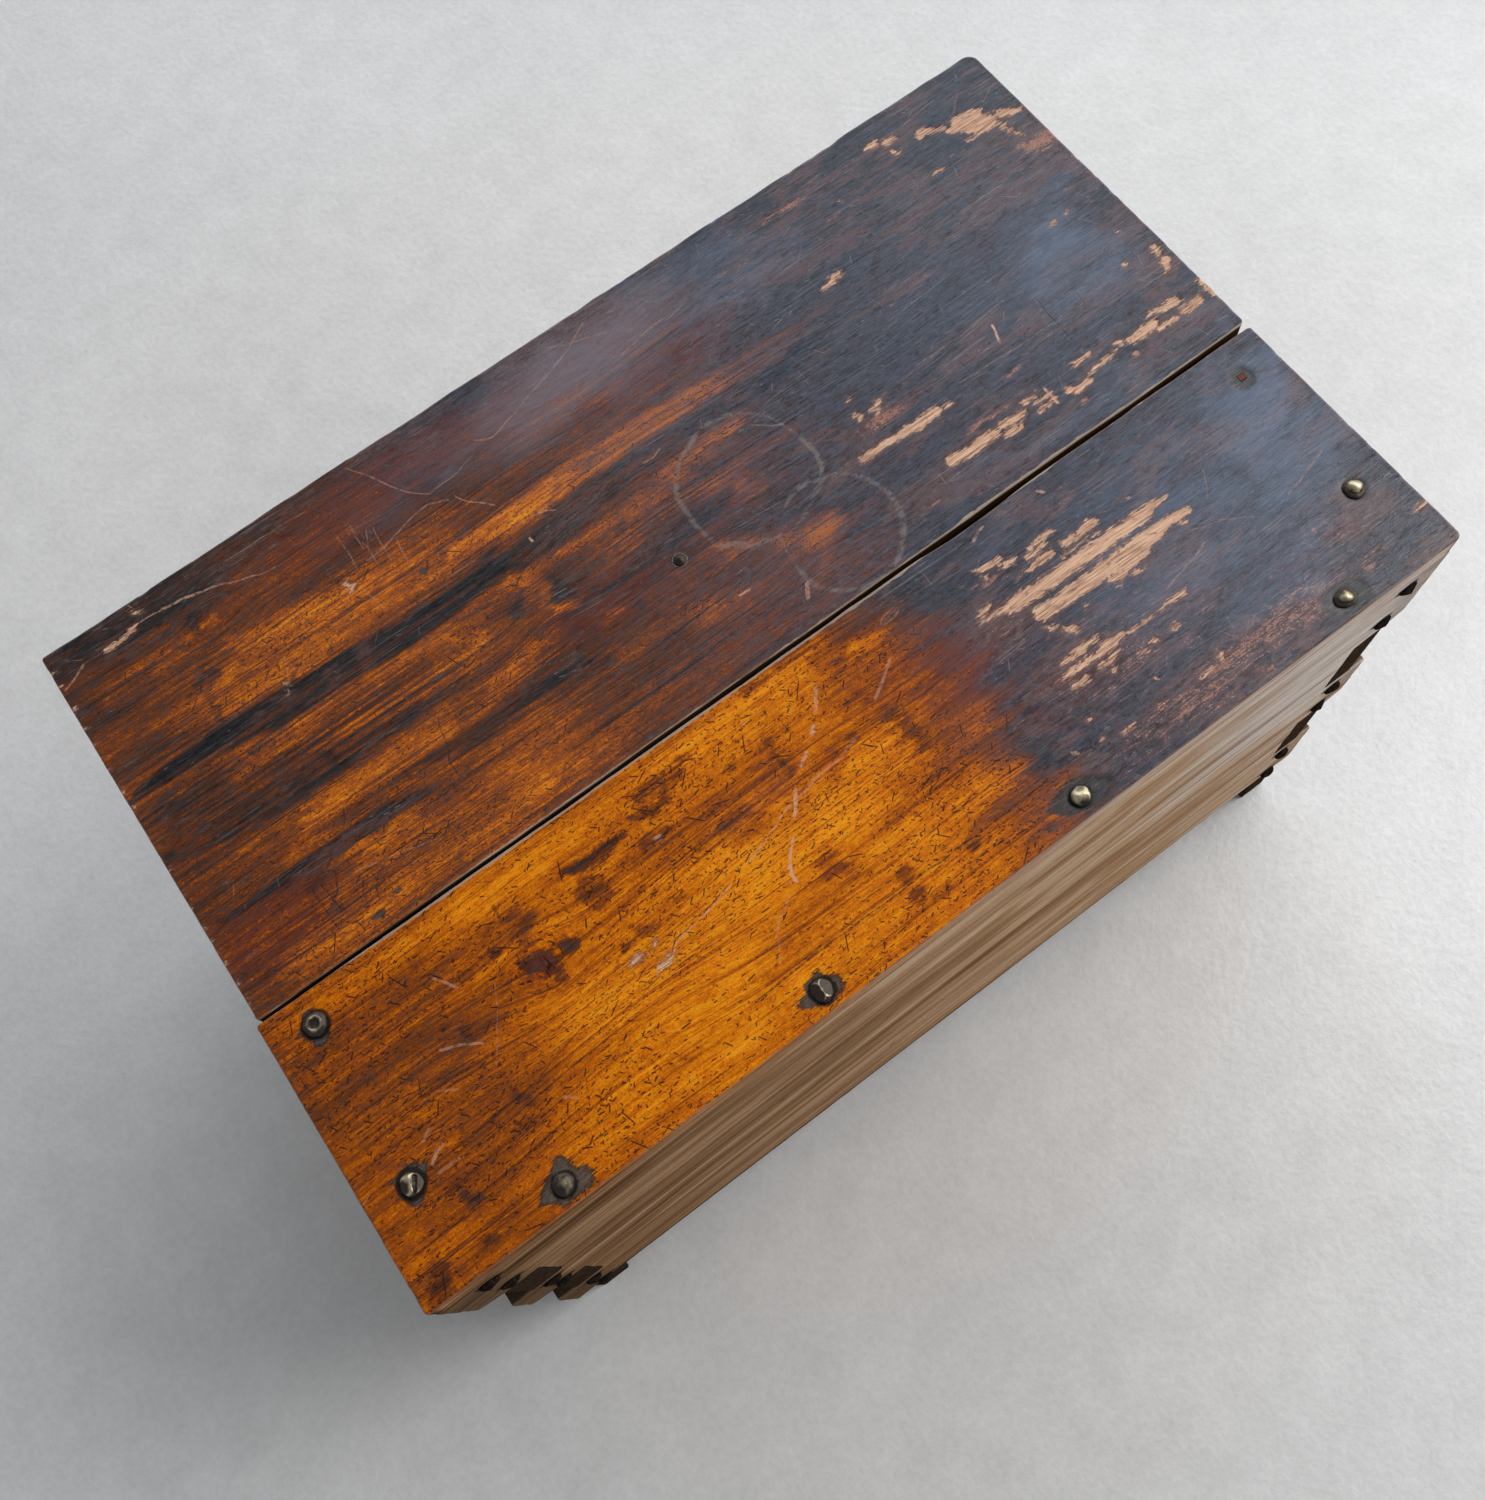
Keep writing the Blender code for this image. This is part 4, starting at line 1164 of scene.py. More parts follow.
class Nodes:
    """Short ways to write the node tree of a material or of the world. Most return a socket."""

    def __init__(self, owner, shader="Principled BSDF"):
        owner.use_nodes = True
        self.owner = owner
        self.tree = owner.node_tree
        self.shader = self.tree.nodes[shader]

    def put(self, socket, value):
        """Links a socket or sets its value; None leaves it as it is."""
        if isinstance(value, bpy.types.NodeSocket):
            self.tree.links.new(value, socket)
        elif value is not None:
            socket.default_value = value

    def give(self, name, value):
        """Links or sets one input of the shader."""
        self.put(self.shader.inputs[name], value)

    def node(self, kind, inputs, **settings):
        """A new node with its settings, and its inputs linked or set."""
        made = self.tree.nodes.new("ShaderNode" + kind)
        for name, value in settings.items():
            setattr(made, name, value)
        for name, value in inputs.items():
            self.put(made.inputs[name], value)
        return made

    def maths(self, operation, a, b=None):
        return self.node("Math", {0: a, 1: b}, operation=operation).outputs[0]

    def add(self, a, b):
        return self.maths("ADD", a, b)

    def times(self, a, b):
        return self.maths("MULTIPLY", a, b)

    def less(self, value):
        """1 less the value."""
        return self.maths("SUBTRACT", 1.0, value)

    def centred(self, noise, amount):
        """A noise that runs about a half, moved to run about zero, times an amount."""
        return self.times(self.add(noise, -0.5), amount)

    def plus(self, value, *parts):
        """A value with each (part, amount) added."""
        for part, amount in parts:
            value = self.add(value, self.times(part, amount))
        return value

    def stirred(self, value, *noises):
        """A value with each (noise, amount) added, centred."""
        for noise, amount in noises:
            value = self.add(value, self.centred(noise, amount))
        return value

    def most(self, a, b):
        return self.maths("MAXIMUM", a, b)

    def step(self, value, low, high, out_low=0.0, out_high=1.0):
        """Smooth step of a value between two levels."""
        inputs = {"Value": value, "From Min": low, "From Max": high, "To Min": out_low, "To Max": out_high}
        return self.node("MapRange", inputs, interpolation_type="SMOOTHSTEP").outputs["Result"]

    def blend(self, share, a, b, kind="MIX"):
        """From colour a to colour b by a share."""
        a, b = ((*colour, 1.0) if isinstance(colour, tuple) else colour for colour in (a, b))
        made = self.node("Mix", {}, data_type="RGBA", blend_type=kind)
        for name, value in (("Factor", share), ("A", a), ("B", b)):
            self.put(made.inputs[name], value)
        return made.outputs["Result"]

    def tint(self, colour, tone, share, amount):
        """The colour, drawn towards a tone by a share times an amount."""
        return self.blend(self.times(share, amount), colour, tone)

    def field(self, name, output="Fac"):
        """A field of the mesh."""
        return self.node("Attribute", {}, attribute_name=name).outputs[output]

    def place(self):
        """The place on the object."""
        return self.node("TexCoord", {}).outputs["Object"]

    def scaled(self, vector, scale, offset):
        return self.node("Mapping", {"Vector": vector, "Scale": scale, "Location": offset}).outputs["Vector"]

    def noise(self, vector, scale, detail=4.0, roughness=0.55, offset=(0, 0, 0), twist=0.0):
        """Noise of one scale, or of a scale for each axis."""
        scale = scale if isinstance(scale, tuple) else (scale, scale, scale)
        inputs = {"Scale": 1.0, "Detail": detail, "Roughness": roughness, "Distortion": twist}
        inputs["Vector"] = self.scaled(vector, scale, offset)
        return self.node("TexNoise", inputs).outputs["Fac"]

    def dashes(self, vector, cell, half_long, half_wide, turn, offset, chance):
        """Short strokes scattered at most one to a cell, each turned its own way."""
        shifted = self.scaled(vector, (1.0, 1.0, 1.0), (offset, offset, 0.0))
        cells = self.node("TexVoronoi", {"Scale": 1 / cell, "Vector": shifted}, voronoi_dimensions="2D")
        away = self.node("VectorMath", {0: shifted, 1: cells.outputs["Position"]}, operation="SUBTRACT")
        lots = self.node("SeparateColor", {"Color": cells.outputs["Color"]})
        inputs = {"Vector": away.outputs["Vector"]}
        inputs["Angle"] = self.centred(lots.outputs["Red"], math.radians(turn))
        turned = self.node("VectorRotate", inputs, rotation_type="Z_AXIS")
        parts = self.node("SeparateXYZ", {"Vector": turned.outputs["Vector"]})
        along = self.maths("ABSOLUTE", parts.outputs["X"])
        aside = self.maths("ABSOLUTE", parts.outputs["Y"])
        reach = self.add(half_long * 0.35, self.times(lots.outputs["Green"], half_long * 0.65))
        on_stroke = self.times(
            self.step(self.maths("DIVIDE", along, reach), 1.1, 0.7),
            self.step(aside, half_wide * 1.35, half_wide * 0.6),
        )
        return self.times(on_stroke, self.maths("LESS_THAN", lots.outputs["Blue"], chance))

    def ramp(self, value, stops):
        """A colour that follows the value along stops of (place, colour)."""
        made = self.node("ValToRGB", {"Fac": value})
        held = made.color_ramp.elements
        while len(held) < len(stops):
            held.new(0.5)
        for element, (place, colour) in zip(held, stops):
            element.position = place
            element.color = (*colour, 1.0)
        return made.outputs["Color"]

    def bump(self, height, strength, distance):
        inputs = {"Strength": strength, "Distance": distance, "Height": height}
        self.give("Normal", self.node("Bump", inputs).outputs["Normal"])


def new_material(name):
    return Nodes(bpy.data.materials.new(name))


def srgb(red, green, blue):
    """A colour given as it looks on screen, from 0 to 255, in linear light."""
    levels = []
    for part in (red, green, blue):
        share = part / 255
        levels.append(share / 12.92 if share <= 0.04045 else ((share + 0.055) / 1.055) ** 2.4)
    return tuple(levels)


def stops(*steps, end=1.0):
    """Stops of a colour ramp, each (place, red, green, blue), for places from 0 to the end."""
    return tuple((place / end, srgb(*colour)) for place, *colour in steps)


# Darkness runs from 0 to DARKEST, and each colour belongs to one darkness
DARKEST = 1.3
WARM_TONES = stops(
    (0.00, 240, 154, 22),
    (0.14, 218, 124, 8),
    (0.28, 184, 92, 4),
    (0.42, 140, 67, 8),
    (0.56, 102, 50, 18),
    (0.70, 74, 41, 25),
    (0.85, 50, 35, 29),
    (1.00, 37, 32, 31),
    (1.30, 23, 23, 26),
    end=DARKEST,
)
COOL_TONES = stops(
    (0.28, 172, 96, 40),
    (0.42, 128, 74, 54),
    (0.56, 98, 62, 58),
    (0.70, 74, 52, 56),
    (0.85, 56, 50, 59),
    (1.00, 45, 48, 60),
    (1.15, 38, 43, 57),
    (1.30, 29, 35, 50),
    end=DARKEST,
)
# Specular level of the dark lacquer, and how pale the rubbed arrises are
DARK_SHINE = 0.38
ARRIS_RUB = 0.45


def wood_noises(n):
    """What the layers of the lacquer share: the darkness as painted, and noises along the grain."""
    grain = n.field("grain", "Vector")
    dark = n.field("dark")
    ring_lines = n.noise(grain, (0.004, 0.42, 0.4), 3, 0.5, (9, 4, 2), 0.2)
    return SimpleNamespace(
        grain=grain,
        painted=dark,
        amber=n.step(dark, 0.75, 0.25),
        bands=n.noise(grain, (0.005, 0.16, 0.16), 4, 0.55),
        streaks=n.noise(grain, (0.008, 0.55, 0.5), 4, 0.6, (3, 7, 1), 0.3),
        fibres=n.noise(grain, (0.05, 1.5, 1.3), 4, 0.65, (13, 2, 5)),
        blotches=n.noise(grain, (0.018, 0.05, 0.045), 4, 0.6, (5, 1, 9), 0.6),
        mottle=n.noise(grain, (0.12, 0.26, 0.24), 5, 0.72, (1, 8, 2), 0.8),
        grit=n.noise(grain, (0.9, 1.4, 1.4), 3, 0.65, (4, 4, 4)),
        flecks=n.noise(grain, (0.10, 0.80, 0.7), 4, 0.72, (2, 9, 4), 0.4),
        ring_lines=n.step(ring_lines, 0.585, 0.66),
    )


def lacquer_tone(n, wood, marks):
    """The darkness, with bands of growth, fibres, mottling, patches and blots, from 0 to 1."""
    stir = n.stirred(n.centred(wood.bands, 0.24), (wood.streaks, 0.32))
    hairs = n.step(n.noise(wood.grain, (0.010, 1.05, 0.9), 3, 0.55, (1, 6, 2), 0.2), 0.57, 0.64)
    stir = n.plus(stir, (hairs, 0.12))
    stir = n.stirred(stir, (wood.fibres, 0.56), (wood.blotches, 0.34), (wood.mottle, 0.70), (wood.grit, 0.66))
    stir = n.plus(stir, (wood.ring_lines, 0.13))
    stir = n.times(stir, n.step(wood.painted, 0.45, 0.95, marks["unrest"], 1.5))
    blot = n.stirred(n.field("blot"), (wood.mottle, 10.0), (wood.fibres, 7.0))
    blot = n.times(n.step(blot, -2.2, 2.4), n.field("blot_strength"))
    dark = n.plus(wood.painted, (blot, n.step(wood.streaks, 0.30, 0.70, 0.55, 1.15)))
    return n.times(n.add(dark, stir), 1 / DARKEST)


def uneven_lacquer(n, wood, dark, colour):
    """Dark lacquer is uneven at every scale, and brown where it has worn thin."""
    shimmer = n.stirred(n.centred(wood.mottle, 2.8), (wood.fibres, 2.2), (wood.grit, 2.0))
    lighter, darker = n.step(wood.flecks, 0.425, 0.380), n.step(wood.flecks, 0.555, 0.605)
    shimmer = n.plus(shimmer, (lighter, 0.40), (darker, -0.42))
    shimmer = n.times(shimmer, n.step(dark, 0.20, 0.58, 0.32, 1.0))
    colour = n.blend(1.0, colour, n.most(n.add(1.0, shimmer), 0.2), "MULTIPLY")
    thin = n.noise(wood.grain, (0.045, 0.34, 0.3), 5, 0.72, (8, 8, 3), 0.5)
    clouds = n.noise(wood.grain, (0.012, 0.034, 0.03), 4, 0.6, (9, 5, 1), 0.8)
    thin = n.stirred(n.centred(thin, 0.8), (clouds, 1.3))
    thin = n.times(n.step(thin, -0.02, 0.15), n.step(dark, 0.52, 0.70))
    return n.tint(colour, srgb(112, 76, 66), thin, 0.42), shimmer


def pale_hairs(n, wood, dark, colour):
    """Pale hairs along the grain and a few hairline scratches, only on the dark lacquer."""
    hairs = n.step(n.noise(wood.grain, (0.016, 1.15, 1.0), 3, 0.6, (7, 3, 9)), 0.60, 0.66)
    hairlines = n.times(n.dashes(wood.grain, 24.0, 7.0, 0.24, 180, 71, 0.55), 1.2)
    hairlines = n.most(hairlines, n.dashes(wood.grain, 9.0, 2.2, 0.30, 40, 83, 0.40))
    pale = n.times(n.most(hairs, hairlines), n.step(dark, 0.52, 0.72))
    return n.tint(colour, srgb(142, 132, 130), pale, n.step(wood.blotches, 0.40, 0.60, 0.10, 0.42))


def reddened(n, dark, colour):
    """The reddish places, which show at middling darkness."""
    redder = n.blend(0.36, colour, srgb(104, 34, 22))
    share = n.times(n.field("red"), n.step(dark, 0.22, 0.42))
    return n.blend(n.times(share, n.step(dark, 0.8, 0.6)), colour, redder)


def nicked(n, wood, colour):
    """Dark specks, dashes along the grain and short cuts across it."""
    specks = n.step(n.noise(wood.grain, (0.34, 0.55, 0.5), 3, 0.6, (9, 3, 7), 0.6), 0.62, 0.66)
    crowd = n.step(n.noise(wood.grain, (0.014, 0.024, 0.02), 3, 0.55, (5, 5, 5)), 0.36, 0.60)
    chance = n.plus(0.13, (crowd, 0.44))
    nicks = n.times(specks, n.plus(0.30, (crowd, 0.70)))
    for cell, half_long, half_wide, turn, share, offset in (
        (4.2, 1.3, 0.34, 180, 1.0, 11),
        (5.2, 1.8, 0.33, 30, 1.1, 23),
        (9.0, 3.0, 0.42, 120, 0.9, 37),
        (21.0, 7.0, 0.38, 150, 0.7, 51),
    ):
        cuts = n.dashes(wood.grain, cell, half_long, half_wide, turn, offset, n.times(chance, share))
        nicks = n.most(nicks, cuts)
    nicks = n.times(nicks, n.plus(0.26, (n.step(wood.amber, 0.10, 0.62), 0.74)))
    return n.tint(colour, n.blend(wood.amber, srgb(22, 18, 18), srgb(42, 19, 8)), nicks, 0.88), nicks


def scuffed(n, wood, colour):
    """Thinly worn reddish brown: a soft stain, and flecks in it."""
    scuff = n.stirred(n.field("scuff"), (wood.mottle, 1.6), (wood.streaks, 1.0))
    worn = n.times(n.step(scuff, 0.05, 0.85), n.step(n.field("scuff"), 0.02, 0.25))
    colour = n.tint(colour, srgb(116, 76, 66), worn, 0.50)
    scuff = n.stirred(scuff, (wood.fibres, 1.3), (wood.grit, 1.4))
    share = n.times(n.step(scuff, 0.66, 0.78), n.step(n.field("scuff"), 0.02, 0.12))
    brown = n.ramp(wood.grit, stops((0.3, 118, 72, 58), (0.55, 160, 106, 84), (0.75, 204, 146, 112)))
    return n.tint(colour, brown, share, 0.80)


def bare_wood(n, wood, colour):
    """Bare wood with a ragged brown rim, split by darker fibres."""
    ragged = n.centred(n.noise(wood.grain, (0.16, 0.75, 0.5), 6, 0.75, (2, 2, 6), 0.6), 12.0)
    depth = n.add(n.field("bare"), n.add(ragged, 0.1))
    colour = n.tint(colour, srgb(118, 70, 52), n.step(depth, -2.2, -0.2), 0.40)
    bare = n.step(depth, -0.15, 0.2)
    tan = n.ramp(wood.fibres, stops((0.32, 142, 98, 74), (0.47, 199, 152, 120), (0.64, 226, 185, 152)))
    tan = n.tint(tan, srgb(120, 72, 50), n.step(wood.mottle, 0.54, 0.66), 0.7)
    slits = n.step(n.noise(wood.grain, (0.035, 1.1, 0.6), 4, 0.6, (6, 2, 9), 0.2), 0.56, 0.62)
    tan = n.tint(tan, srgb(92, 62, 48), slits, 0.75)
    return n.blend(bare, colour, tan), bare


def clouded_and_sheened(n, wood, bare, colour):
    """Blue-grey bloom with a painted sheen of reflected light, and the faint rings of wet vessels."""
    bloom = n.times(n.field("bloom"), n.stirred(0.75, (wood.blotches, 1.6)))
    bloom = n.times(bloom, n.less(bare))
    bloom = n.plus(bloom, (n.add(wood.fibres, -0.42), n.field("bloom")))
    # the tint turns bluer to the right: a painted reflection of the bright side of the room
    sheen_and_cloud_tint = n.blend(n.step(n.field("across"), 0.55, 0.75), srgb(116, 108, 116), srgb(98, 114, 138))
    colour = n.tint(colour, sheen_and_cloud_tint, n.step(bloom, 0.0, 1.2), 0.62)
    ring = n.stirred(n.field("ring"), (wood.blotches, 5.0))
    ring = n.times(n.step(ring, 1.5, -0.6), n.times(n.step(wood.mottle, 0.38, 0.56), 0.34))
    return n.blend(ring, colour, srgb(150, 138, 130))


def iron_stains_and_nail_shadows(n, wood, marks, colour):
    """Iron stain, crisp at its edge, and a dark ring round each nail of dirt and painted shadow."""
    stain = n.stirred(n.field("stain"), (wood.mottle, 9.0), (wood.fibres, 5.0))
    slate = n.blend(n.step(n.field("across"), 0.45, 0.65), srgb(80, 77, 72), srgb(54, 53, 55))
    tone = n.blend(n.step(stain, 0.2, 3.0), srgb(42, 35, 31), slate)
    tone = n.blend(n.step(wood.grit, 0.44, 0.60, 0.0, 0.55), tone, srgb(36, 33, 32))
    tone = n.blend(n.step(wood.flecks, 0.46, 0.40, 0.0, 0.4), tone, srgb(112, 100, 84))
    colour = n.tint(colour, tone, n.step(stain, -1.0, 0.9), 0.93)
    # a dark ring round each head: dirt, and a painted shadow of the head
    ring = n.stirred(n.field("nail_ring"), (wood.mottle, 4.5))
    colour = n.tint(colour, srgb(27, 22, 20), n.step(ring, 0.7, -0.7), 0.86)
    rim = n.step(n.maths("ABSOLUTE", n.add(n.field("nail_ring"), 0.2)), 0.45, 0.15)
    rim = n.times(n.times(rim, n.step(wood.grit, 0.40, 0.50)), marks["nail_rim"])
    return n.tint(colour, srgb(150, 136, 124), rim, 0.7)


def scratched(n, wood, colour):
    """Fine lines: pale scratches, the ones that cross them, and dark ones."""
    lines = None
    for line, shade in (
        ("pale", srgb(206, 156, 128)),
        ("pale_crossing", srgb(206, 160, 128)),
        ("scratch", srgb(36, 20, 14)),
    ):
        away = n.maths("ABSOLUTE", n.field(line + "_side"))
        away = n.stirred(away, (n.noise(wood.grain, 0.6, 3, 0.6, (7, 1, 3)), 0.8))
        on_line = n.step(n.maths("SUBTRACT", n.field(line + "_width"), away), -0.12, 0.08)
        broken = n.step(n.noise(wood.grain, 0.30, 3, 0.65, (1, 5, 8)), 0.38, 0.56)
        share = n.times(on_line, n.field(line + "_strength"))
        share = n.times(share, n.plus(0.22, (broken, 0.68)))
        colour = n.blend(share, colour, shade)
        lines = share if lines is None else n.most(lines, share)
    return colour, lines


def board_walls(n, wood, colour):
    """The walls of the board are dull weathered wood, with a painted shade in the gap between lid and plank.
    """
    strands = n.noise(wood.grain, (0.006, 0.5, 0.5), 4, 0.6, (2, 6, 6))
    strands = n.plus(n.times(wood.fibres, 0.35), (strands, 0.65))
    end_rings = n.noise(wood.grain, (0.006, 0.045, 0.55), 4, 0.62, (2, 6, 6), 0.5)
    end_grain = n.times(n.plus(n.times(end_rings, 0.75), (wood.grit, 0.25)), n.field("end"))
    strands = n.add(n.times(strands, n.less(n.field("end"))), end_grain)
    brown = n.ramp(
        n.add(strands, n.step(n.field("across"), 0.05, 0.40, 0.0, 0.08)),
        stops((0.40, 66, 43, 27), (0.50, 124, 86, 54), (0.60, 184, 138, 98)),
    )
    pale = n.ramp(strands, stops((0.41, 132, 106, 92), (0.50, 200, 180, 166), (0.59, 236, 222, 210)))
    pale_share = n.times(n.step(n.field("across"), 0.25, 1.0), n.field("wall_pale"))
    tone = n.blend(pale_share, brown, pale)
    # towards near black: the dark wood of the ends, and a painted shade in the gap between lid and plank
    tone = n.blend(n.field("wall_shade"), tone, srgb(12, 10, 9))
    wall = n.step(n.field("wall"), 0.75, 0.95)
    return n.blend(wall, colour, tone), wall


def worn_arris(n, wood, colour):
    """A pale worn line along the arris, broken by the grain."""
    ragged = n.centred(n.noise(wood.grain, (0.09, 0.3, 0.3), 4, 0.6, (6, 6, 1)), 3.2)
    edge = n.add(n.field("edge"), ragged)
    colour = n.blend(n.times(n.step(edge, 1.2, 0.3), ARRIS_RUB), colour, srgb(140, 104, 78))
    line = n.plus(n.field("pale_edge"), (ragged, 0.9))
    line = n.times(n.step(line, -0.2, 0.3), n.step(wood.fibres, 0.34, 0.46, 0.45, 0.9))
    return n.blend(line, colour, srgb(160, 140, 122))


def lacquered_wood(name, marks):
    """Old lacquer on softwood, from honey to blue-black, worn through in places, with a painted sheen, dirt
    and painted shadow round the nails, and painted shade in the gap.
    """
    n = new_material(name)
    wood = wood_noises(n)
    dark = lacquer_tone(n, wood, marks)
    colour = n.blend(n.field("cool"), n.ramp(dark, WARM_TONES), n.ramp(dark, COOL_TONES))
    colour, shimmer = uneven_lacquer(n, wood, dark, colour)
    colour = pale_hairs(n, wood, dark, colour)
    colour = reddened(n, dark, colour)
    colour, nicks = nicked(n, wood, colour)
    colour = scuffed(n, wood, colour)
    colour, bare = bare_wood(n, wood, colour)
    colour = clouded_and_sheened(n, wood, bare, colour)
    colour = iron_stains_and_nail_shadows(n, wood, marks, colour)
    colour, lines = scratched(n, wood, colour)
    colour, wall = board_walls(n, wood, colour)
    n.give("Base Color", worn_arris(n, wood, colour))

    # shine, gloss and relief
    shine = n.plus(DARK_SHINE, (n.field("cool"), 0.14), (wood.amber, marks["amber_shine"] - DARK_SHINE))
    shine = n.times(shine, n.most(n.plus(1.0, (shimmer, 0.5)), 0.25))
    n.give("Specular IOR Level", n.times(shine, n.less(wall)))
    n.give("Roughness", n.plus(0.25, (wood.mottle, 0.18), (bare, 0.26), (n.field("bloom"), 0.06)))
    height = n.plus(n.times(wood.fibres, 0.5), (wood.ring_lines, -0.25), (wood.mottle, 0.5), (bare, -0.9))
    height = n.plus(height, (lines, -0.5), (nicks, -0.2), (wood.grit, 0.10))
    n.bump(height, 0.55, 0.00042)
    return n.owner


def raw_wood(name, low, high, roughness=0.72, long_way=0, dark_from=None):
    """Dry wood without lacquer.

    long_way is the axis that the grain follows.  Towards the front and the back the wood
    darkens beyond dark_from, in metres from the middle.
    """
    n = new_material(name)
    place = n.place()

    def grained(crosswise, lengthwise):
        return tuple(lengthwise if axis == long_way else crosswise for axis in range(3))

    broad = n.noise(place, grained(90.0, 4.0), 5, 0.6, twist=0.15)
    growth = n.noise(place, grained(330.0, 2.6), 3, 0.6, (6, 2, 8), 0.15)
    fine = n.noise(place, grained(700.0, 26.0), 4, 0.6, (3, 1, 2))
    patch = n.noise(place, 14.0, 4, 0.6, (7, 7, 7))
    tone = n.plus(n.times(broad, 0.55), (fine, 0.25), (patch, 0.30))
    middle = tuple((a + b) / 2 for a, b in zip(low, high))
    colour = n.ramp(tone, ((0.36, low), (0.54, middle), (0.72, high)))
    shade = tuple(part * 0.4 for part in low)
    light = tuple(part * 1.3 for part in high)
    colour = n.blend(n.step(growth, 0.525, 0.585, 0.0, 0.42), colour, shade)
    colour = n.blend(n.step(growth, 0.455, 0.405, 0.0, 0.24), colour, light)
    colour = n.tint(colour, shade, n.step(fine, 0.58, 0.66), 0.5)
    # darker towards the front and the back: on the side boards, painted shade and dirt where their ends sit
    # between the fingers
    if dark_from is not None:
        reach = n.maths("ABSOLUTE", n.node("SeparateXYZ", {"Vector": place}).outputs["Y"])
        colour = n.blend(n.step(reach, dark_from, dark_from + 0.004, 0.0, 0.70), colour, srgb(34, 27, 22))
    n.give("Base Color", colour)
    n.give("Specular IOR Level", 0.0)
    n.give("Roughness", n.plus(roughness - 0.08, (broad, 0.16)))
    n.bump(n.plus(n.times(fine, 0.6), (broad, 0.5)), 0.6, 0.0006)
    return n.owner


def weathered_wood(name):
    """Grey-brown weathered softwood with long horizontal streaks, lighter to the right, with painted shade on
    its walls.
    """
    n = new_material(name)
    grain = n.field("grain", "Vector")
    bands = n.noise(grain, (0.0016, 0.30, 0.042), 3, 0.55, (2, 5, 1), 0.15)
    strands = n.noise(grain, (0.004, 0.9, 0.17), 5, 0.62, (8, 2, 3), 0.2)
    fibres = n.noise(grain, (0.03, 1.6, 1.1), 5, 0.65, (4, 9, 6))
    blotches = n.noise(grain, (0.010, 0.05, 0.02), 4, 0.6, (1, 7, 2))
    tone = n.stirred(0.45, (bands, 1.0), (strands, 1.0), (fibres, 0.6))
    tone = n.stirred(n.add(tone, n.field("tone")), (blotches, 0.55))
    tone = n.plus(tone, (n.field("across"), 0.40))
    warm = stops(
        (0.00, 74, 48, 30), (0.28, 114, 80, 52), (0.52, 150, 112, 78),
        (0.78, 188, 150, 114), (1.00, 212, 184, 152),
    )
    grey = stops(
        (0.00, 88, 70, 62), (0.28, 124, 104, 94), (0.52, 162, 142, 130),
        (0.78, 198, 180, 168), (1.00, 220, 208, 198),
    )
    greyer = n.stirred(n.field("greyer"), (blotches, 0.9), (strands, 0.8))
    colour = n.blend(n.step(greyer, 0.2, 0.9), n.ramp(tone, warm), n.ramp(tone, grey))
    growth = n.noise(grain, (0.0032, 0.8, 0.46), 3, 0.62, (5, 2, 7), 0.2)
    darker = n.blend(0.5, srgb(70, 50, 36), colour)
    colour = n.blend(n.step(growth, 0.530, 0.585, 0.0, 0.40), colour, darker)
    colour = n.blend(n.step(growth, 0.455, 0.405, 0.0, 0.22), colour, srgb(206, 180, 150))
    hairs = n.noise(grain, (0.011, 1.6, 1.5), 3, 0.6, (9, 1, 3))
    colour = n.blend(n.step(hairs, 0.545, 0.60, 0.0, 0.34), colour, srgb(64, 46, 34))
    lines = n.step(strands, 0.60, 0.68)
    colour = n.tint(colour, srgb(196, 172, 148), lines, 0.25)
    cracks = n.step(n.noise(grain, (0.012, 2.0, 0.9), 3, 0.5, (3, 3, 9)), 0.66, 0.70)
    colour = n.tint(colour, srgb(38, 28, 24), cracks, 0.7)
    joint = n.step(n.stirred(n.field("joint"), (strands, 0.8)), 0.25, 0.85)
    colour = n.tint(colour, srgb(56, 50, 41), joint, 0.55)
    # the walls and the faces of the fingers are darkened: a painted shade of the joints
    colour = n.tint(colour, srgb(36, 28, 22), n.step(n.field("wall"), 0.75, 0.95), 0.78)
    stain = n.stirred(n.field("stain"), (fibres, 3.0))
    colour = n.tint(colour, srgb(30, 27, 27), n.step(stain, -0.6, 0.8), 0.75)
    edge = n.stirred(n.field("edge"), (strands, 3.0))
    colour = n.tint(colour, srgb(150, 126, 104), n.step(edge, 1.5, 0.4), 0.3)
    n.give("Base Color", colour)
    n.give("Specular IOR Level", 0.0)
    n.give("Roughness", n.plus(0.62, (strands, 0.16)))
    n.bump(n.plus(n.times(strands, 0.8), (fibres, 0.5), (cracks, -0.8)), 0.6, 0.0006)
    return n.owner


def forged_iron(name):
    """Dark forged iron, bright on its high places and ridges: worn metal, and painted highlights."""
    n = new_material(name)
    place = n.place()
    pits = n.noise(place, 900.0, 4, 0.65)
    patches = n.noise(place, 260.0, 4, 0.6, (3, 1, 2))
    bright = n.step(n.stirred(n.field("wear_and_highlight"), (patches, 0.8)), 0.34, 0.92)
    colour = n.blend(bright, srgb(62, 54, 47), srgb(206, 190, 156))
    colour = n.tint(colour, srgb(70, 46, 34), n.step(patches, 0.58, 0.72), 0.5)
    n.give("Base Color", colour)
    n.give("Metallic", 0.85)
    n.give("Roughness", n.plus(0.30, (pits, 0.30)))
    n.bump(n.plus(pits, (patches, 1.2)), 0.5, 0.00035)
    return n.owner


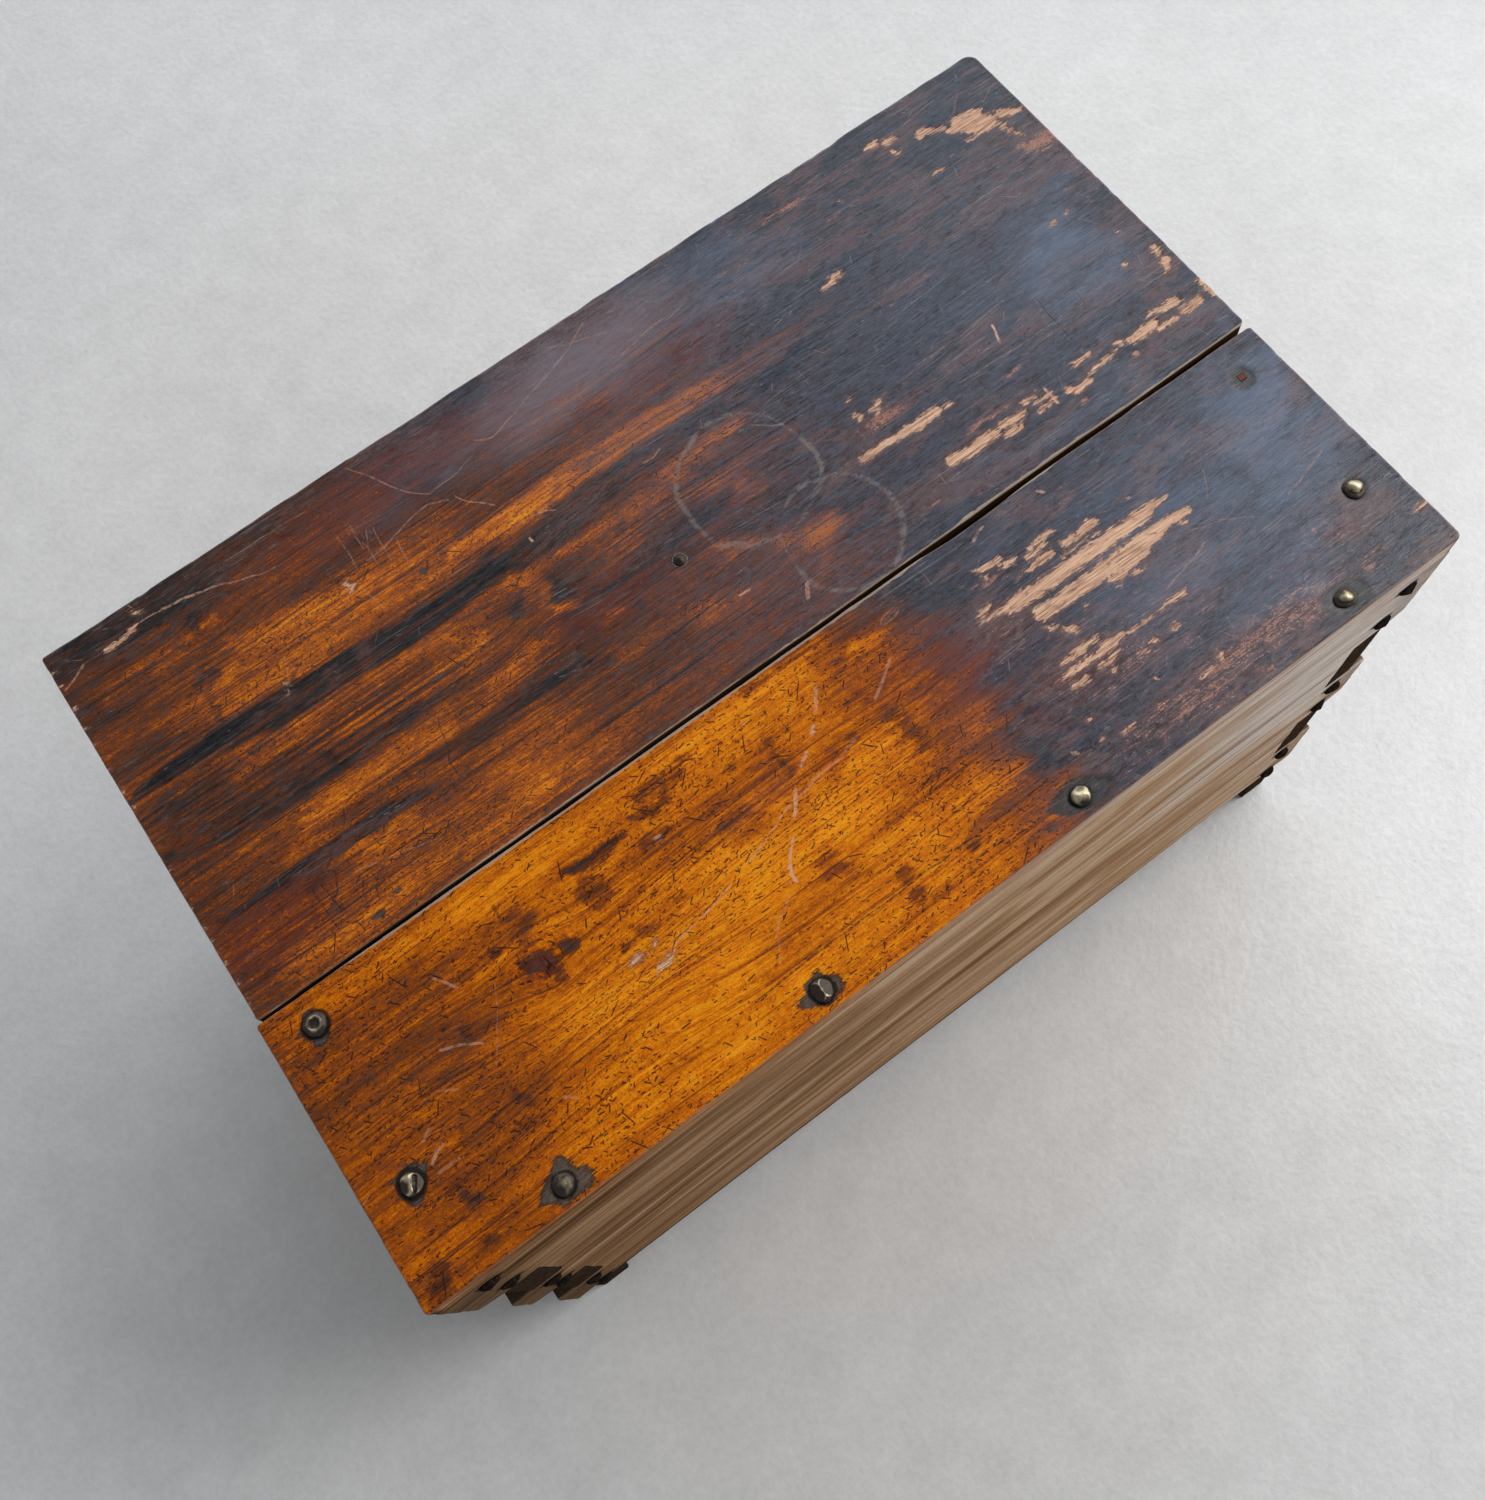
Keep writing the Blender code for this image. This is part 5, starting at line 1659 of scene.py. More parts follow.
def rusted_iron(name):
    """Iron black with old rust, without any shine."""
    n = new_material(name)
    pits = n.noise(n.place(), 600.0, 4, 0.65)
    colour = n.ramp(pits, stops((0.35, 19, 17, 16), (0.55, 36, 31, 28), (0.70, 66, 52, 42)))
    n.give("Base Color", colour)
    n.give("Specular IOR Level", 0.0)
    n.give("Roughness", n.plus(0.60, (pits, 0.30)))
    n.bump(pits, 0.6, 0.0004)
    return n.owner


def pale_floor(name):
    """Smooth pale grey floor."""
    n = new_material(name)
    place = n.place()
    clouds = n.noise(place, 1.6, 4, 0.55)
    mottle = n.noise(place, 26.0, 5, 0.6, (4, 2, 1))
    plaster = n.noise(place, 150.0, 4, 0.65, (2, 5, 1))
    tone = n.plus(n.times(clouds, 0.4), (mottle, 0.3), (plaster, 0.3))
    n.give("Base Color", n.ramp(tone, stops((0.38, 213, 211, 208), (0.62, 231, 229, 226))))
    n.give("Roughness", n.plus(0.26, (mottle, 0.16)))
    n.bump(n.add(mottle, plaster), 0.40, 0.0012)
    return n.owner


# Boards

def grain_field(x, y, z, knots):
    """Where each point lies in the grain, in millimetres, with the grain led round its knots."""
    lifted = y.copy()
    for cx, cy, long, wide, push in knots:
        along = (x - cx) / long
        aside = (y - cy) / wide
        lifted += push * aside * np.exp(-(along**2) - aside**2 * 0.5)
    lifted += 3.0 * rough(x / 150, y / 60, 21) + 1.2 * rough(x / 60, y / 30, 22)
    return np.stack([x, lifted, z], 1)


def nail_spot(node):
    """The middle of a nail, which is under the middle of its head."""
    low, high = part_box(node)
    return (low + high) / 2


def surface_relief(x, y, fields, seed):
    """How far the wear sinks each point of a top board, in millimetres."""
    ridges = 0.05 * (1 + rough(x / 70, y / 2.6, seed, 2))
    waves = 0.10 * (1 + rough(x / 90, y / 45, seed + 5))
    dents = 0.14 * ease((rough(x / 4, y / 2.4, seed + 9) - 0.78) / 0.2)
    bare = 0.34 * ease((fields["bare"] + 0.6) / 1.4)
    scuff = 0.10 * fields["scuff"]
    stain = 0.22 * ease((fields["stain"] + 0.5) / 2.5)
    return ridges + waves + dents + bare + scuff + stain


def arris_radius(x, y, seed):
    """How round the arrises of a top board are worn, in metres: crisper at the gap."""
    radius = (1.5 + 0.7 * rough(x / 16, y / 16, seed, 2)) * MM
    radius += 0.9 * MM * ease((rough(x / 9, y / 9, seed + 3) - 0.55) / 0.3)
    radius = np.clip(radius, 0.0006, 0.0032)
    return np.where(abs(y - GAP_MIDDLE) < 5.0, np.minimum(radius * 0.4, 0.0008), radius)


# The corners of a top board as ways out: back right, back left, front right, front left
CORNER_WAYS = ((1, 1), (-1, 1), (1, -1), (-1, -1))


def top_board(node, nails, marks, body):
    """One of the two boards of the top, with all its wear."""
    low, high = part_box(node)
    xs, ys = (low.x, high.x), (low.y, high.y)
    thick = high.z - low.z
    holes = [nail_spot(nail).xy for nail in nails]
    rows = (*TOP_ROWS, thick - LAST_ROW, thick)
    board = Board(xs, ys, TOP_STEP, rows, lambda u, v: np.ones(u.shape, bool), holes)
    u, v = board.u, board.v
    edge = board.edge_distance()
    for way, radius in zip(CORNER_WAYS, marks["corners"]):
        corner = (xs[way[0] > 0], ys[way[1] > 0])
        u, v = square_to_round(u, v, corner, way, radius)
    u, v = marks["skew"](u, v, xs, ys)
    x, y = u / MM, v / MM
    fields = paint_board(x, y, marks)
    seed = marks["seed"]
    sunk = surface_relief(x, y, fields, seed) * MM * ease(edge / 0.004)
    for cx, cy in holes:
        away = np.hypot(u - cx, v - cy)
        sunk = sunk + 0.0002 * ease((0.010 - away) / 0.004)
    z = high.z - board.fall(edge, arris_radius(x, y, seed), sunk)
    fields["grain"] = grain_field(x, y, z / MM, marks["knots"])
    fields.update(board.edge_fields(edge))
    fields["pale_edge"] = np.where(board.on_face, marks["pale_edge"](x, y), -FAR)
    fields["wall_shade"] = marks["wall_shade"](x, y)
    fields["end"] = near_end(x)
    fields["wall_pale"] = marks["wall_pale"] * ease((-y - 222) / 5) * (1 - fields["end"])
    name = node + "_worn"
    skin = lacquered_wood(name + "_lacquer", marks)
    core = raw_wood(name + "_underside", srgb(96, 68, 44), srgb(158, 118, 80))
    piece = board.mesh(name, np.stack([u, v, z], 1), fields, skin, core)
    stand_in(piece, node, body)


def lid_skew(u, v, xs, ys):
    """The lid's left end runs in a little towards the front, and its edges are uneven."""
    share = (ys[1] - v) / (ys[1] - ys[0])
    u = u + 0.0022 * share * ease((-u - 0.300) / 0.060)
    worn = 0.0004 * (1 + rough(u / 0.045, v * 0, 31, 2))
    v = v + worn * ease((ys[0] + 0.012 - v) / 0.012)
    v = v - worn * ease((v - ys[1] + 0.012) / 0.012)
    return u, v


def plank_skew(u, v, xs, ys):
    """The plank narrows to the right and has a bite out of its back edge."""
    back = ease((v - ys[1] + 0.020) / 0.020)
    narrow = 0.0015 * (u - xs[0]) / (xs[1] - xs[0])
    bite = 0.0017 * ease((u - 0.095) / 0.035) * ease((0.185 - u) / 0.040)
    worn = 0.0003 * (1 + rough(u / 0.030, v * 0, 41, 2))
    return u, v - back * (narrow + bite + worn)


def lid_pale_edge(x, y):
    """Depth in the pale worn line on the lid's front arris."""
    reach = np.where(x < -240, 0.2, 0.9) + 0.9 * ease((x - 130) / 12) * ease((242 - x) / 12)
    return np.where(y < -30, reach - abs(y - LID_FRONT - 0.4), -FAR)


def plank_pale_edge(x, y):
    """Depth in the grey worn line on the plank's back arris."""
    back = PLANK_BACK_LEFT - PLANK_TAPER * across(x)
    reach = 1.7 * ease((x + 330) / 60) * ease((125 - x) / 40) - 0.3
    reach = np.maximum(reach, 0.9 * ease((x - 165) / 8) * ease((205 - x) / 8))
    return np.where(y > -60, reach - abs(back - 0.6 - y), -FAR)


def lid_wall_shade(x, y):
    """How dark the lid's walls are: dark all round, and nearly black in the gap, a painted shade."""
    return np.where(y < -38, 0.86, 0.62 + 0.14 * near_end(x))


def plank_wall_shade(x, y):
    """How dark the plank's walls are: pale in front, dark at the ends and nearly black in the gap, a painted
    shade.
    """
    return np.where(y > -52, 0.86, np.maximum(0.60 * ease((y + 224) / 8), 0.74 * near_end(x)))


# Knots are (x, y, half length, half width, push) in the grain, and the rings of dirt and painted shadow round
# the nails are (x, y, reach)
LID_MARKS = {
    "base": lid_base, "dark": LID_DARK, "bright": LID_BRIGHT, "red": LID_RED, "cool": lid_cool,
    "bloom": LID_BLOOM_AND_SHEEN, "bare": LID_BARE, "scuff": LID_SCUFF, "stain": LID_STAIN,
    "pale": LID_PALE, "pale_crossing": LID_PALE_CROSSING, "scratch": LID_SCRATCHES, "rings": LID_RINGS,
    "strength": 0.80, "faint": 0.5, "blot_share": 0.62, "amber_shine": 0.40, "unrest": 1.45,
    "nail_rings": ((-12, 41, 4.8),), "nail_rim": 1.0,
    "knots": ((-95, 74, 26, 14, 9), (-262, 184, 18, 10, -6), (60, 12, 30, 16, 6)),
    "corners": (0.0080, PLAN_CORNER, 0.0050, PLAN_CORNER), "skew": lid_skew, "seed": 80,
    "pale_edge": lid_pale_edge, "wall_shade": lid_wall_shade, "wall_pale": 0.0,
}
PLANK_MARKS = {
    "base": plank_base, "dark": PLANK_DARK, "bright": PLANK_BRIGHT, "red": PLANK_RED, "cool": plank_cool,
    "bloom": PLANK_BLOOM_AND_SHEEN, "bare": PLANK_BARE, "scuff": PLANK_SCUFF, "stain": PLANK_STAIN,
    "pale": PLANK_PALE, "pale_crossing": PLANK_PALE_CROSSING, "scratch": PLANK_SCRATCHES, "rings": [],
    "strength": 0.85, "faint": 0.60, "blot_share": 0.76, "amber_shine": 0.14, "unrest": 1.12,
    "nail_rings": (
        (-332, -64.8, 8.6), (-332, -168, 9.0), (-266, -216, 7.4), (-96.7, -216, 8.2),
        (83.4, -216, 7.4), (280, -216, 7.6), (332, -168, 7.3),
    ),
    "nail_rim": 0.0,
    "knots": ((-190, -150, 70, 24, 14), (-212, -112, 24, 14, -8), (40, -140, 60, 30, 6)),
    "corners": (0.0030, PLAN_CORNER, 0.0040, 0.0030), "skew": plank_skew, "seed": 60,
    "pale_edge": plank_pale_edge, "wall_shade": plank_wall_shade, "wall_pale": 1.0,
}

# Streaks of the front board, in millimetres: soft strokes of (x, z, half width), softness and amount
FRONT_DARK = [
    ([(-320, 430, 14), (-240, 432, 14)], 10, 0.12),
    ([(-310, 276, 2), (-250, 284, 3), (-150, 291, 4), (-60, 296, 2)], 3, 0.34),
    ([(-60, 300, 3), (0, 299, 4), (70, 296, 2)], 4, 0.26),
    ([(-320, 226, 9), (-180, 234, 12), (0, 238, 10), (160, 232, 8)], 7, 0.18),
    ([(-320, 440, 7), (-220, 448, 7), (-140, 458, 4), (-40, 472, 2)], 6, 0.24),
    ([(-300, 413, 2), (-180, 418, 3), (-120, 424, 1)], 4, 0.16),
    ([(-300, 330, 8), (-200, 322, 14), (-40, 322, 16), (60, 316, 10)], 10, 0.14),
    ([(-150, 358, 6), (-100, 362, 7)], 6, 0.10),
    ([(150, 336, 3), (230, 338, 4), (310, 330, 3)], 4, 0.24),
    ([(60, 342, 3), (110, 345, 3)], 4, 0.16),
    ([(120, 306, 3), (250, 300, 4)], 5, 0.18),
    ([(-320, 84, 3), (-100, 92, 3), (0, 96, 2)], 4, 0.08),
    ([(60, 92, 4), (320, 92, 6)], 6, 0.14),
    ([(-320, 51, 4), (0, 53, 4), (180, 52, 4)], 3, 0.30),
    ([(-147, 286, 3)], 2, 0.4),
    ([(-57, 142, 3)], 2, 0.45),
    ([(80, 172, 3)], 3, 0.25),
    ([(48, 398, 2)], 2, 0.3),
]
FRONT_BRIGHT = [
    ([(60, 432, 22), (320, 424, 30)], 16, 0.14),
    ([(60, 350, 20), (320, 345, 26)], 16, 0.12),
    ([(60, 275, 20), (320, 272, 24)], 16, 0.12),
    ([(-60, 430, 16), (60, 430, 18)], 14, 0.08),
    ([(-60, 275, 14), (60, 275, 16)], 14, 0.08),
    ([(-320, 258, 7), (-160, 266, 9), (0, 270, 9), (200, 266, 9), (320, 258, 8)], 6, 0.20),
    ([(-310, 392, 7), (-200, 398, 7), (-100, 396, 8), (40, 392, 10)], 7, 0.15),
    ([(-150, 380, 9), (-80, 376, 10), (20, 384, 8)], 8, 0.14),
    ([(-320, 464, 4), (-250, 470, 4), (-150, 478, 3)], 4, 0.12),
    ([(-60, 445, 14), (40, 440, 16), (100, 436, 12)], 10, 0.16),
    ([(100, 460, 9), (280, 450, 14)], 8, 0.16),
    ([(140, 390, 10), (260, 380, 14)], 9, 0.16),
    ([(200, 318, 6), (320, 315, 8)], 6, 0.14),
    ([(-250, 182, 12), (-60, 190, 14), (120, 186, 12)], 10, 0.10),
    ([(-60, 104, 6), (80, 106, 7), (140, 104, 5)], 6, 0.12),
]


# The back board is alike all over
BACK_LEVELS = (("across", 0.22), ("greyer", 0.16), ("tone", 0.0))


def finger_taper(u, v):
    """Heights on the front board, drawn in towards the tips of its fingers."""
    share = np.clip((abs(u) - SIDE_OUTER) / (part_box("front_board")[1].x - SIDE_OUTER), 0, 1)
    moved = v.copy()
    for index, (low, high) in enumerate(FINGER_EDGES):
        inside = (v >= low - 1e-6) & (v <= high + 1e-6)
        up = np.clip((v - low) / (high - low), 0, 1)
        rise = 0.0 if index == 0 else FINGER_UNDER_RISE
        fall = 0.0 if index == len(FINGER_EDGES) - 1 else FINGER_TOP_FALL
        moved = np.where(inside, v + share * (rise * (1 - up) - fall * up), moved)
    return moved


def wall_solid(u, v):
    """Where the front and back boards have wood: the middle, and the fingers."""
    body = abs(u) < SIDE_INNER - SEAT
    for low, high in FINGER_EDGES:
        body = body | ((v > low) & (v < high))
    return body


def wall_nails(wall):
    """The names of the nails in the front or back board."""
    return [f"{wall}_nail_{end}_{k}" for end in ("left", "right") for k in range(1, 7)]


def wall_relief(x, z, seed):
    """How far the grain and its cracks sink each point of a wall board, in millimetres."""
    ridges = 0.09 * (1 + rough(x / 160, z / 3.4, seed, 3))
    waves = 0.16 * (1 + rough(x / 200, z / 40, seed + 2))
    cracks = 0.55 * ease((rough(x / 120, z / 1.6, seed + 4) - 0.86) / 0.1)
    return ridges + waves + cracks


def wall_board(wall, facing, seed):
    """The front or back board, weathered, with its finger joints."""
    node = wall + "_board"
    low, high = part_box(node)
    notch = SIDE_INNER - SEAT
    u_breaks = (low.x, -SIDE_OUTER, -notch, notch, SIDE_OUTER, high.x)
    v_breaks = [edge for pair in FINGER_EDGES for edge in pair]
    holes = [nail_spot(nail).xz for nail in wall_nails(wall)]
    thick = high.y - low.y
    rows = (*WALL_ROWS, thick - LAST_ROW, thick)
    board = Board(u_breaks, v_breaks, WALL_STEP, rows, wall_solid, holes)
    u = board.u
    edge = board.edge_distance()
    v = finger_taper(u, board.v)
    x, z = u / MM, v / MM
    radius = np.clip(1.3 + 0.8 * rough(x / 14, z / 14, seed, 2), 0.5, 2.8) * MM
    sunk = wall_relief(x, z, seed) * MM * ease(edge / 0.003)
    outer = low.y if facing < 0 else high.y
    y = outer - facing * board.fall(edge, radius, sunk)
    bent = z + 12 * (x / HALF_LENGTH) ** 2 + 5 * rough(x / 260, z / 80, seed + 7)
    fields = {
        "grain": np.stack([x, y / MM, bent], 1),
        "joint": ease((abs(x) - 300) / 50) * np.where(x < 0, 1.0, 0.55),
        "stain": np.max([9.5 - np.hypot(x - cx / MM, (z - cz / MM) * 1.4) for cx, cz in holes], 0),
        **board.edge_fields(edge),
    }
    if facing < 0:
        fields["across"] = across(x)
        fields["greyer"] = ease((x - 20) / 300) * (0.4 + 0.6 * ease((z - 150) / 250))
        fields["tone"] = soft_sum(x, z, FRONT_BRIGHT) - soft_sum(x, z, FRONT_DARK)
    else:
        board.faces = [face[::-1] for face in board.faces]
        fields.update({name: np.full(len(x), level) for name, level in BACK_LEVELS})
    name = node + "_weathered"
    skin = weathered_wood(name + "_grain")
    core = raw_wood(name + "_inside", srgb(92, 66, 46), srgb(150, 114, 80))
    piece = board.mesh(name, np.stack([u, y, v], 1), fields, skin, core)
    stand_in(piece, node, "chest")


# Nails

# What the hammer and the wear left on each head, and how bright its painted highlights are, as head_height
# explains
HEADS = {
    "top_nail_front_1": {
        "flats": ((200, 30, 0.94), (80, 22, 0.98)), "ridge": (0.10, 0.2), "shine": 0.80,
    },
    "top_nail_front_2": {
        "flats": ((178, 36, 0.88), (358, 34, 0.90)), "ridge": (0.75, 0.07), "stretch": (0.94, 1.08),
        "shine": 0.62,
    },
    "top_nail_front_3": {
        "flats": ((60, 24, 0.96), (250, 30, 0.94)), "ridge": (0.15, 0.2), "shine": 1.25,
    },
    "top_nail_front_4": {
        "flats": ((100, 20, 0.96), (10, 30, 0.96)), "knob": (0.08, 0.02, 0.74), "ridge": (0.20, 0.2),
        "stretch": (1.10, 0.92), "shine": 1.0,
    },
    "top_nail_left_1": {
        "flats": ((170, 30, 0.98), (345, 34, 0.92)), "groove": (330, 0.34, 0.34), "ridge": (0.45, 0.12),
        "stretch": (0.98, 1.08), "shine": 0.85,
    },
    "top_nail_left_2": {
        "sunk": (0.50, 0.26), "ridge": (0.0, 0.2), "stretch": (1.12, 1.12), "shine": 0.66,
    },
    "top_nail_right_1": {
        "flats": ((190, 26, 0.98), (40, 22, 0.98)), "knob": (0.12, 0.10, 0.76), "ridge": (0.15, 0.2),
        "shine": 1.3,
    },
    "lid_nail": {"knob": (0.0, 0.0, 0.62), "shine": 0.25},
}
# Higher is crisper between the flats
HEAD_SHARP = 16.0
HEAD_RINGS = 14
HEAD_POINTS = 44
# The widest small head, in metres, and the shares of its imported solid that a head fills
SMALL_HEAD = 0.010
HEAD_FILL = 0.97
DOME_FILL = 0.98
WIDEST_STRETCH = 1.12
PLAIN_SHINE = 0.4
NAIL_SHARP_ANGLE = math.radians(50)


def heading_place(a, b, heading):
    """How far (a, b) lies along a heading in degrees."""
    return a * math.cos(math.radians(heading)) + b * math.sin(math.radians(heading))


def head_height(a, b, shape, seed):
    """Height of a forged head over (a, b) in the unit circle, and how bright each point is: worn metal and
    painted highlights.

    All lengths of a shape are shares of the head's radius.  Its flats are headings and tilts
    in degrees and heights, and its ridge says how bright the edges between them are, and how
    wide.  A knob, as place and radius, is a rounded middle on a thin rim.  A head sunk by a
    depth has a hollow middle of a radius.  A groove has a heading, a place and a depth.
    """
    reach = np.clip(np.hypot(a, b), 0, 1)
    dome = np.sqrt(np.maximum(1 - reach**2, 0)) ** 0.9
    planes = [dome, dome + 0.5]
    for heading, tilt, level in shape.get("flats", ()):
        slope = math.tan(math.radians(tilt))
        planes.append(np.maximum(level - slope * heading_place(a, b, heading) * 1.3, 0))
    planes = np.sort(np.array(planes), axis=0)
    weight, width = shape.get("ridge", (0.15, 0.2))
    ridge = weight * np.exp(-(((planes[1] - planes[0]) / width) ** 2)) * (reach < 0.90)
    soft = -np.log(np.sum(np.exp(-HEAD_SHARP * planes), axis=0)) / HEAD_SHARP
    height = np.clip(soft + 0.02, 0, 1)
    if "knob" in shape:
        x, y, size = shape["knob"]
        inner = np.clip(np.hypot(a - x, b - y) / size, 0, 1)
        height = np.maximum(0.34 * dome, height * np.sqrt(1 - inner**2) ** 0.7)
    if "sunk" in shape:
        size, depth = shape["sunk"]
        height = height - depth * ease((size - reach) / 0.16)
        ridge = ridge + 0.45 * np.exp(-(((reach - size - 0.05) / 0.10) ** 2))
    if "groove" in shape:
        heading, place, depth = shape["groove"]
        cut = np.exp(-(((heading_place(a, b, heading) - place) / 0.10) ** 2)) * (reach < 0.8)
        height = height - depth * cut
        ridge = ridge - cut
    height = height + 0.05 * rough(a * 3.1 + seed, b * 3.1, seed) * (1 - reach)
    return height, 0.66 * height + ridge


def head_shape(node, seed):
    """What marks one head: its own entry in HEADS, or three flats drawn by lot."""
    draw = np.random.default_rng(seed)
    flats = tuple((draw.uniform(0, 360), draw.uniform(18, 36), draw.uniform(0.78, 0.96)) for _ in range(3))
    stretch = (draw.uniform(0.95, 1.03), draw.uniform(0.95, 1.03))
    return {"stretch": stretch, **HEADS.get(node, {"flats": flats, "shine": PLAIN_SHINE})}


def square_ring(angles, side, depth):
    """A ring of points round the square shank."""
    points = []
    for angle in angles:
        c, s = math.cos(angle), math.sin(angle)
        scale = side / 2 / max(abs(c), abs(s))
        points.append((c * scale, s * scale, depth))
    return points


def nail_shell(shape, seed, wide, long, dome, shank):
    """Points, faces and brightness of an upright nail whose head sits on height 0."""
    angles = [2 * math.pi * k / HEAD_POINTS for k in range(HEAD_POINTS)]
    verts = square_ring(angles, NAIL_TIP, dome - long) + square_ring(angles, shank, 0.0)
    wear_and_highlight = [0.0] * len(verts)
    wide_x, wide_y = (wide / 2 * min(part * HEAD_FILL, WIDEST_STRETCH) for part in shape["stretch"])
    edge = [1 + 0.035 * math.sin(3 * t + seed) + 0.02 * math.sin(7 * t + 2 * seed) for t in angles]
    for k in range(HEAD_RINGS):
        reach = math.cos(math.pi / 2 * k / HEAD_RINGS) ** 0.8
        a = np.array([math.cos(t) * reach for t in angles])
        b = np.array([math.sin(t) * reach for t in angles])
        height, worn_and_highlit = head_height(a, b, shape, seed)
        if k == 0:
            height, worn_and_highlit = np.zeros(HEAD_POINTS), np.zeros(HEAD_POINTS)
        verts += np.stack([a * edge * wide_x, b * edge * wide_y, height * dome * DOME_FILL], 1).tolist()
        # brightness of worn metal and painted highlights, by each head's shine
        wear_and_highlight += (worn_and_highlit * shape["shine"]).tolist()
    tip = len(verts)
    crown, worn_and_highlit = head_height(np.zeros(1), np.zeros(1), shape, seed)
    verts.append((0.0, 0.0, crown[0] * dome * DOME_FILL))
    wear_and_highlight.append(worn_and_highlit[0] * shape["shine"])
    around = [(k, (k + 1) % HEAD_POINTS) for k in range(HEAD_POINTS)]
    faces = []
    for below in range(0, tip - HEAD_POINTS, HEAD_POINTS):
        above = below + HEAD_POINTS
        faces += [(below + k, below + after, above + after, above + k) for k, after in around]
    faces.append(tuple(reversed(range(HEAD_POINTS))))
    last = tip - HEAD_POINTS
    faces += [(last + k, last + after, tip) for k, after in around]
    return verts, faces, wear_and_highlight


def nail_piece(node, body, facing, iron):
    """A forged nail that stands in for one packed nail, with the same head and shank."""
    low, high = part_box(node)
    middle = (low + high) / 2
    axis = Vector(facing)
    size = high - low
    long, wide = abs(size.dot(axis)), min(size)
    outer = low if sum(facing) < 0 else high
    top = Vector([outer[k] if facing[k] else middle[k] for k in range(3)])
    dome, shank = (SMALL_DOME, SMALL_SHANK) if wide < SMALL_HEAD else (NAIL_DOME, NAIL_SHANK)
    seed = sum(ord(letter) * (k + 3) for k, letter in enumerate(node)) % 97
    verts, faces, wear_and_highlight = nail_shell(head_shape(node, seed), seed, wide, long, dome, shank)
    turn = Vector((0, 0, 1)).rotation_difference(axis).to_matrix()
    seat = top - axis * dome
    name = node + "_forged"
    mesh = bpy.data.meshes.new(name)
    mesh.from_pydata([tuple(turn @ Vector(p) + seat) for p in verts], [], faces)
    layer = mesh.attributes.new("wear_and_highlight", "FLOAT", "POINT")
    layer.data.foreach_set("value", np.array(wear_and_highlight, np.float32))
    mesh.materials.append(iron)
    mesh.shade_smooth()
    mesh.set_sharp_from_angle(angle=NAIL_SHARP_ANGLE)
    stand_in(new_object(name, mesh), node, body)


HEADLESS_NAIL = "top_nail_right_2"
TOP_NAILS = [
    *[f"top_nail_front_{k}" for k in range(1, 5)],
    "top_nail_left_1", "top_nail_left_2", "top_nail_right_1", HEADLESS_NAIL,
]


def make_nails():
    """Every nail with a head, and the stump of the one without."""
    iron = forged_iron("forged_iron_worn_and_highlit")
    dull = rusted_iron("forged_iron_rusted")
    for node in TOP_NAILS:
        if node != HEADLESS_NAIL:
            nail_piece(node, "chest", (0, 0, 1), iron)
    nail_piece("lid_nail", "lid", (0, 0, 1), iron)
    for wall, way in (("front", -1), ("back", 1)):
        for node in wall_nails(wall):
            nail_piece(node, "chest", (0, way, 0), dull)
    for end in ("left", "right"):
        for k in range(1, 4):
            nail_piece(f"batten_nail_{end}_{k}", "lid", (0, 0, -1), dull)
    refinish(HEADLESS_NAIL, raw_wood("broken_nail_rusted", srgb(58, 36, 30), srgb(128, 84, 66)))


def dress_plain_nodes():
    """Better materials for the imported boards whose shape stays."""
    # the side boards darken towards their ends between the fingers: painted shade, with dirt
    side = raw_wood("side_board_weathered", srgb(50, 38, 29), srgb(112, 88, 68), 0.68, 1, 0.2225)
    floor = raw_wood("bottom_board_sawn", srgb(110, 80, 52), srgb(176, 136, 94), 0.75, 0)
    batten = raw_wood("lid_batten_sawn", srgb(110, 80, 52), srgb(170, 130, 90), 0.75, 1)
    for finish, nodes in (
        (side, ("side_board_left", "side_board_right")),
        (floor, ("bottom_board_front", "bottom_board_back")),
        (batten, ("lid_batten_left", "lid_batten_right")),
    ):
        for node in nodes:
            refinish(node, finish)


# Floor, light and camera

FLOOR_HALF = 4.0
# A room with pale walls, a dim ceiling and a bright back right side
ROOM_TINT = (0.94, 0.98, 1.04, 1.0)
CEILING_EDGE = (0.25, 0.80)
WALL_LEVEL = 0.72
CEILING_LEVEL = 0.10
BRIGHT_SIDE = (0.8, 0.6, 0.0)
BRIGHT_SIDE_EDGE = (0.33, 0.66)
BRIGHT_SIDE_LEVEL = 2.1
# A soft lamp high on the right, a little to the front
LAMP_PLACE = (2.1, -0.75, 2.45)
LAMP_TARGET = (0.0, 0.0, 0.4)
LAMP_SIZE = (1.5, 1.8)
LAMP_POWER = 48.0


def make_floor():
    """A wide pale floor."""
    mesh = bpy.data.meshes.new("studio_floor")
    corners = [(x * FLOOR_HALF, y * FLOOR_HALF, 0) for x, y in ((-1, -1), (1, -1), (1, 1), (-1, 1))]
    mesh.from_pydata(corners, [], [(0, 1, 2, 3)])
    mesh.materials.append(pale_floor("pale_floor"))
    new_object("studio_floor", mesh)


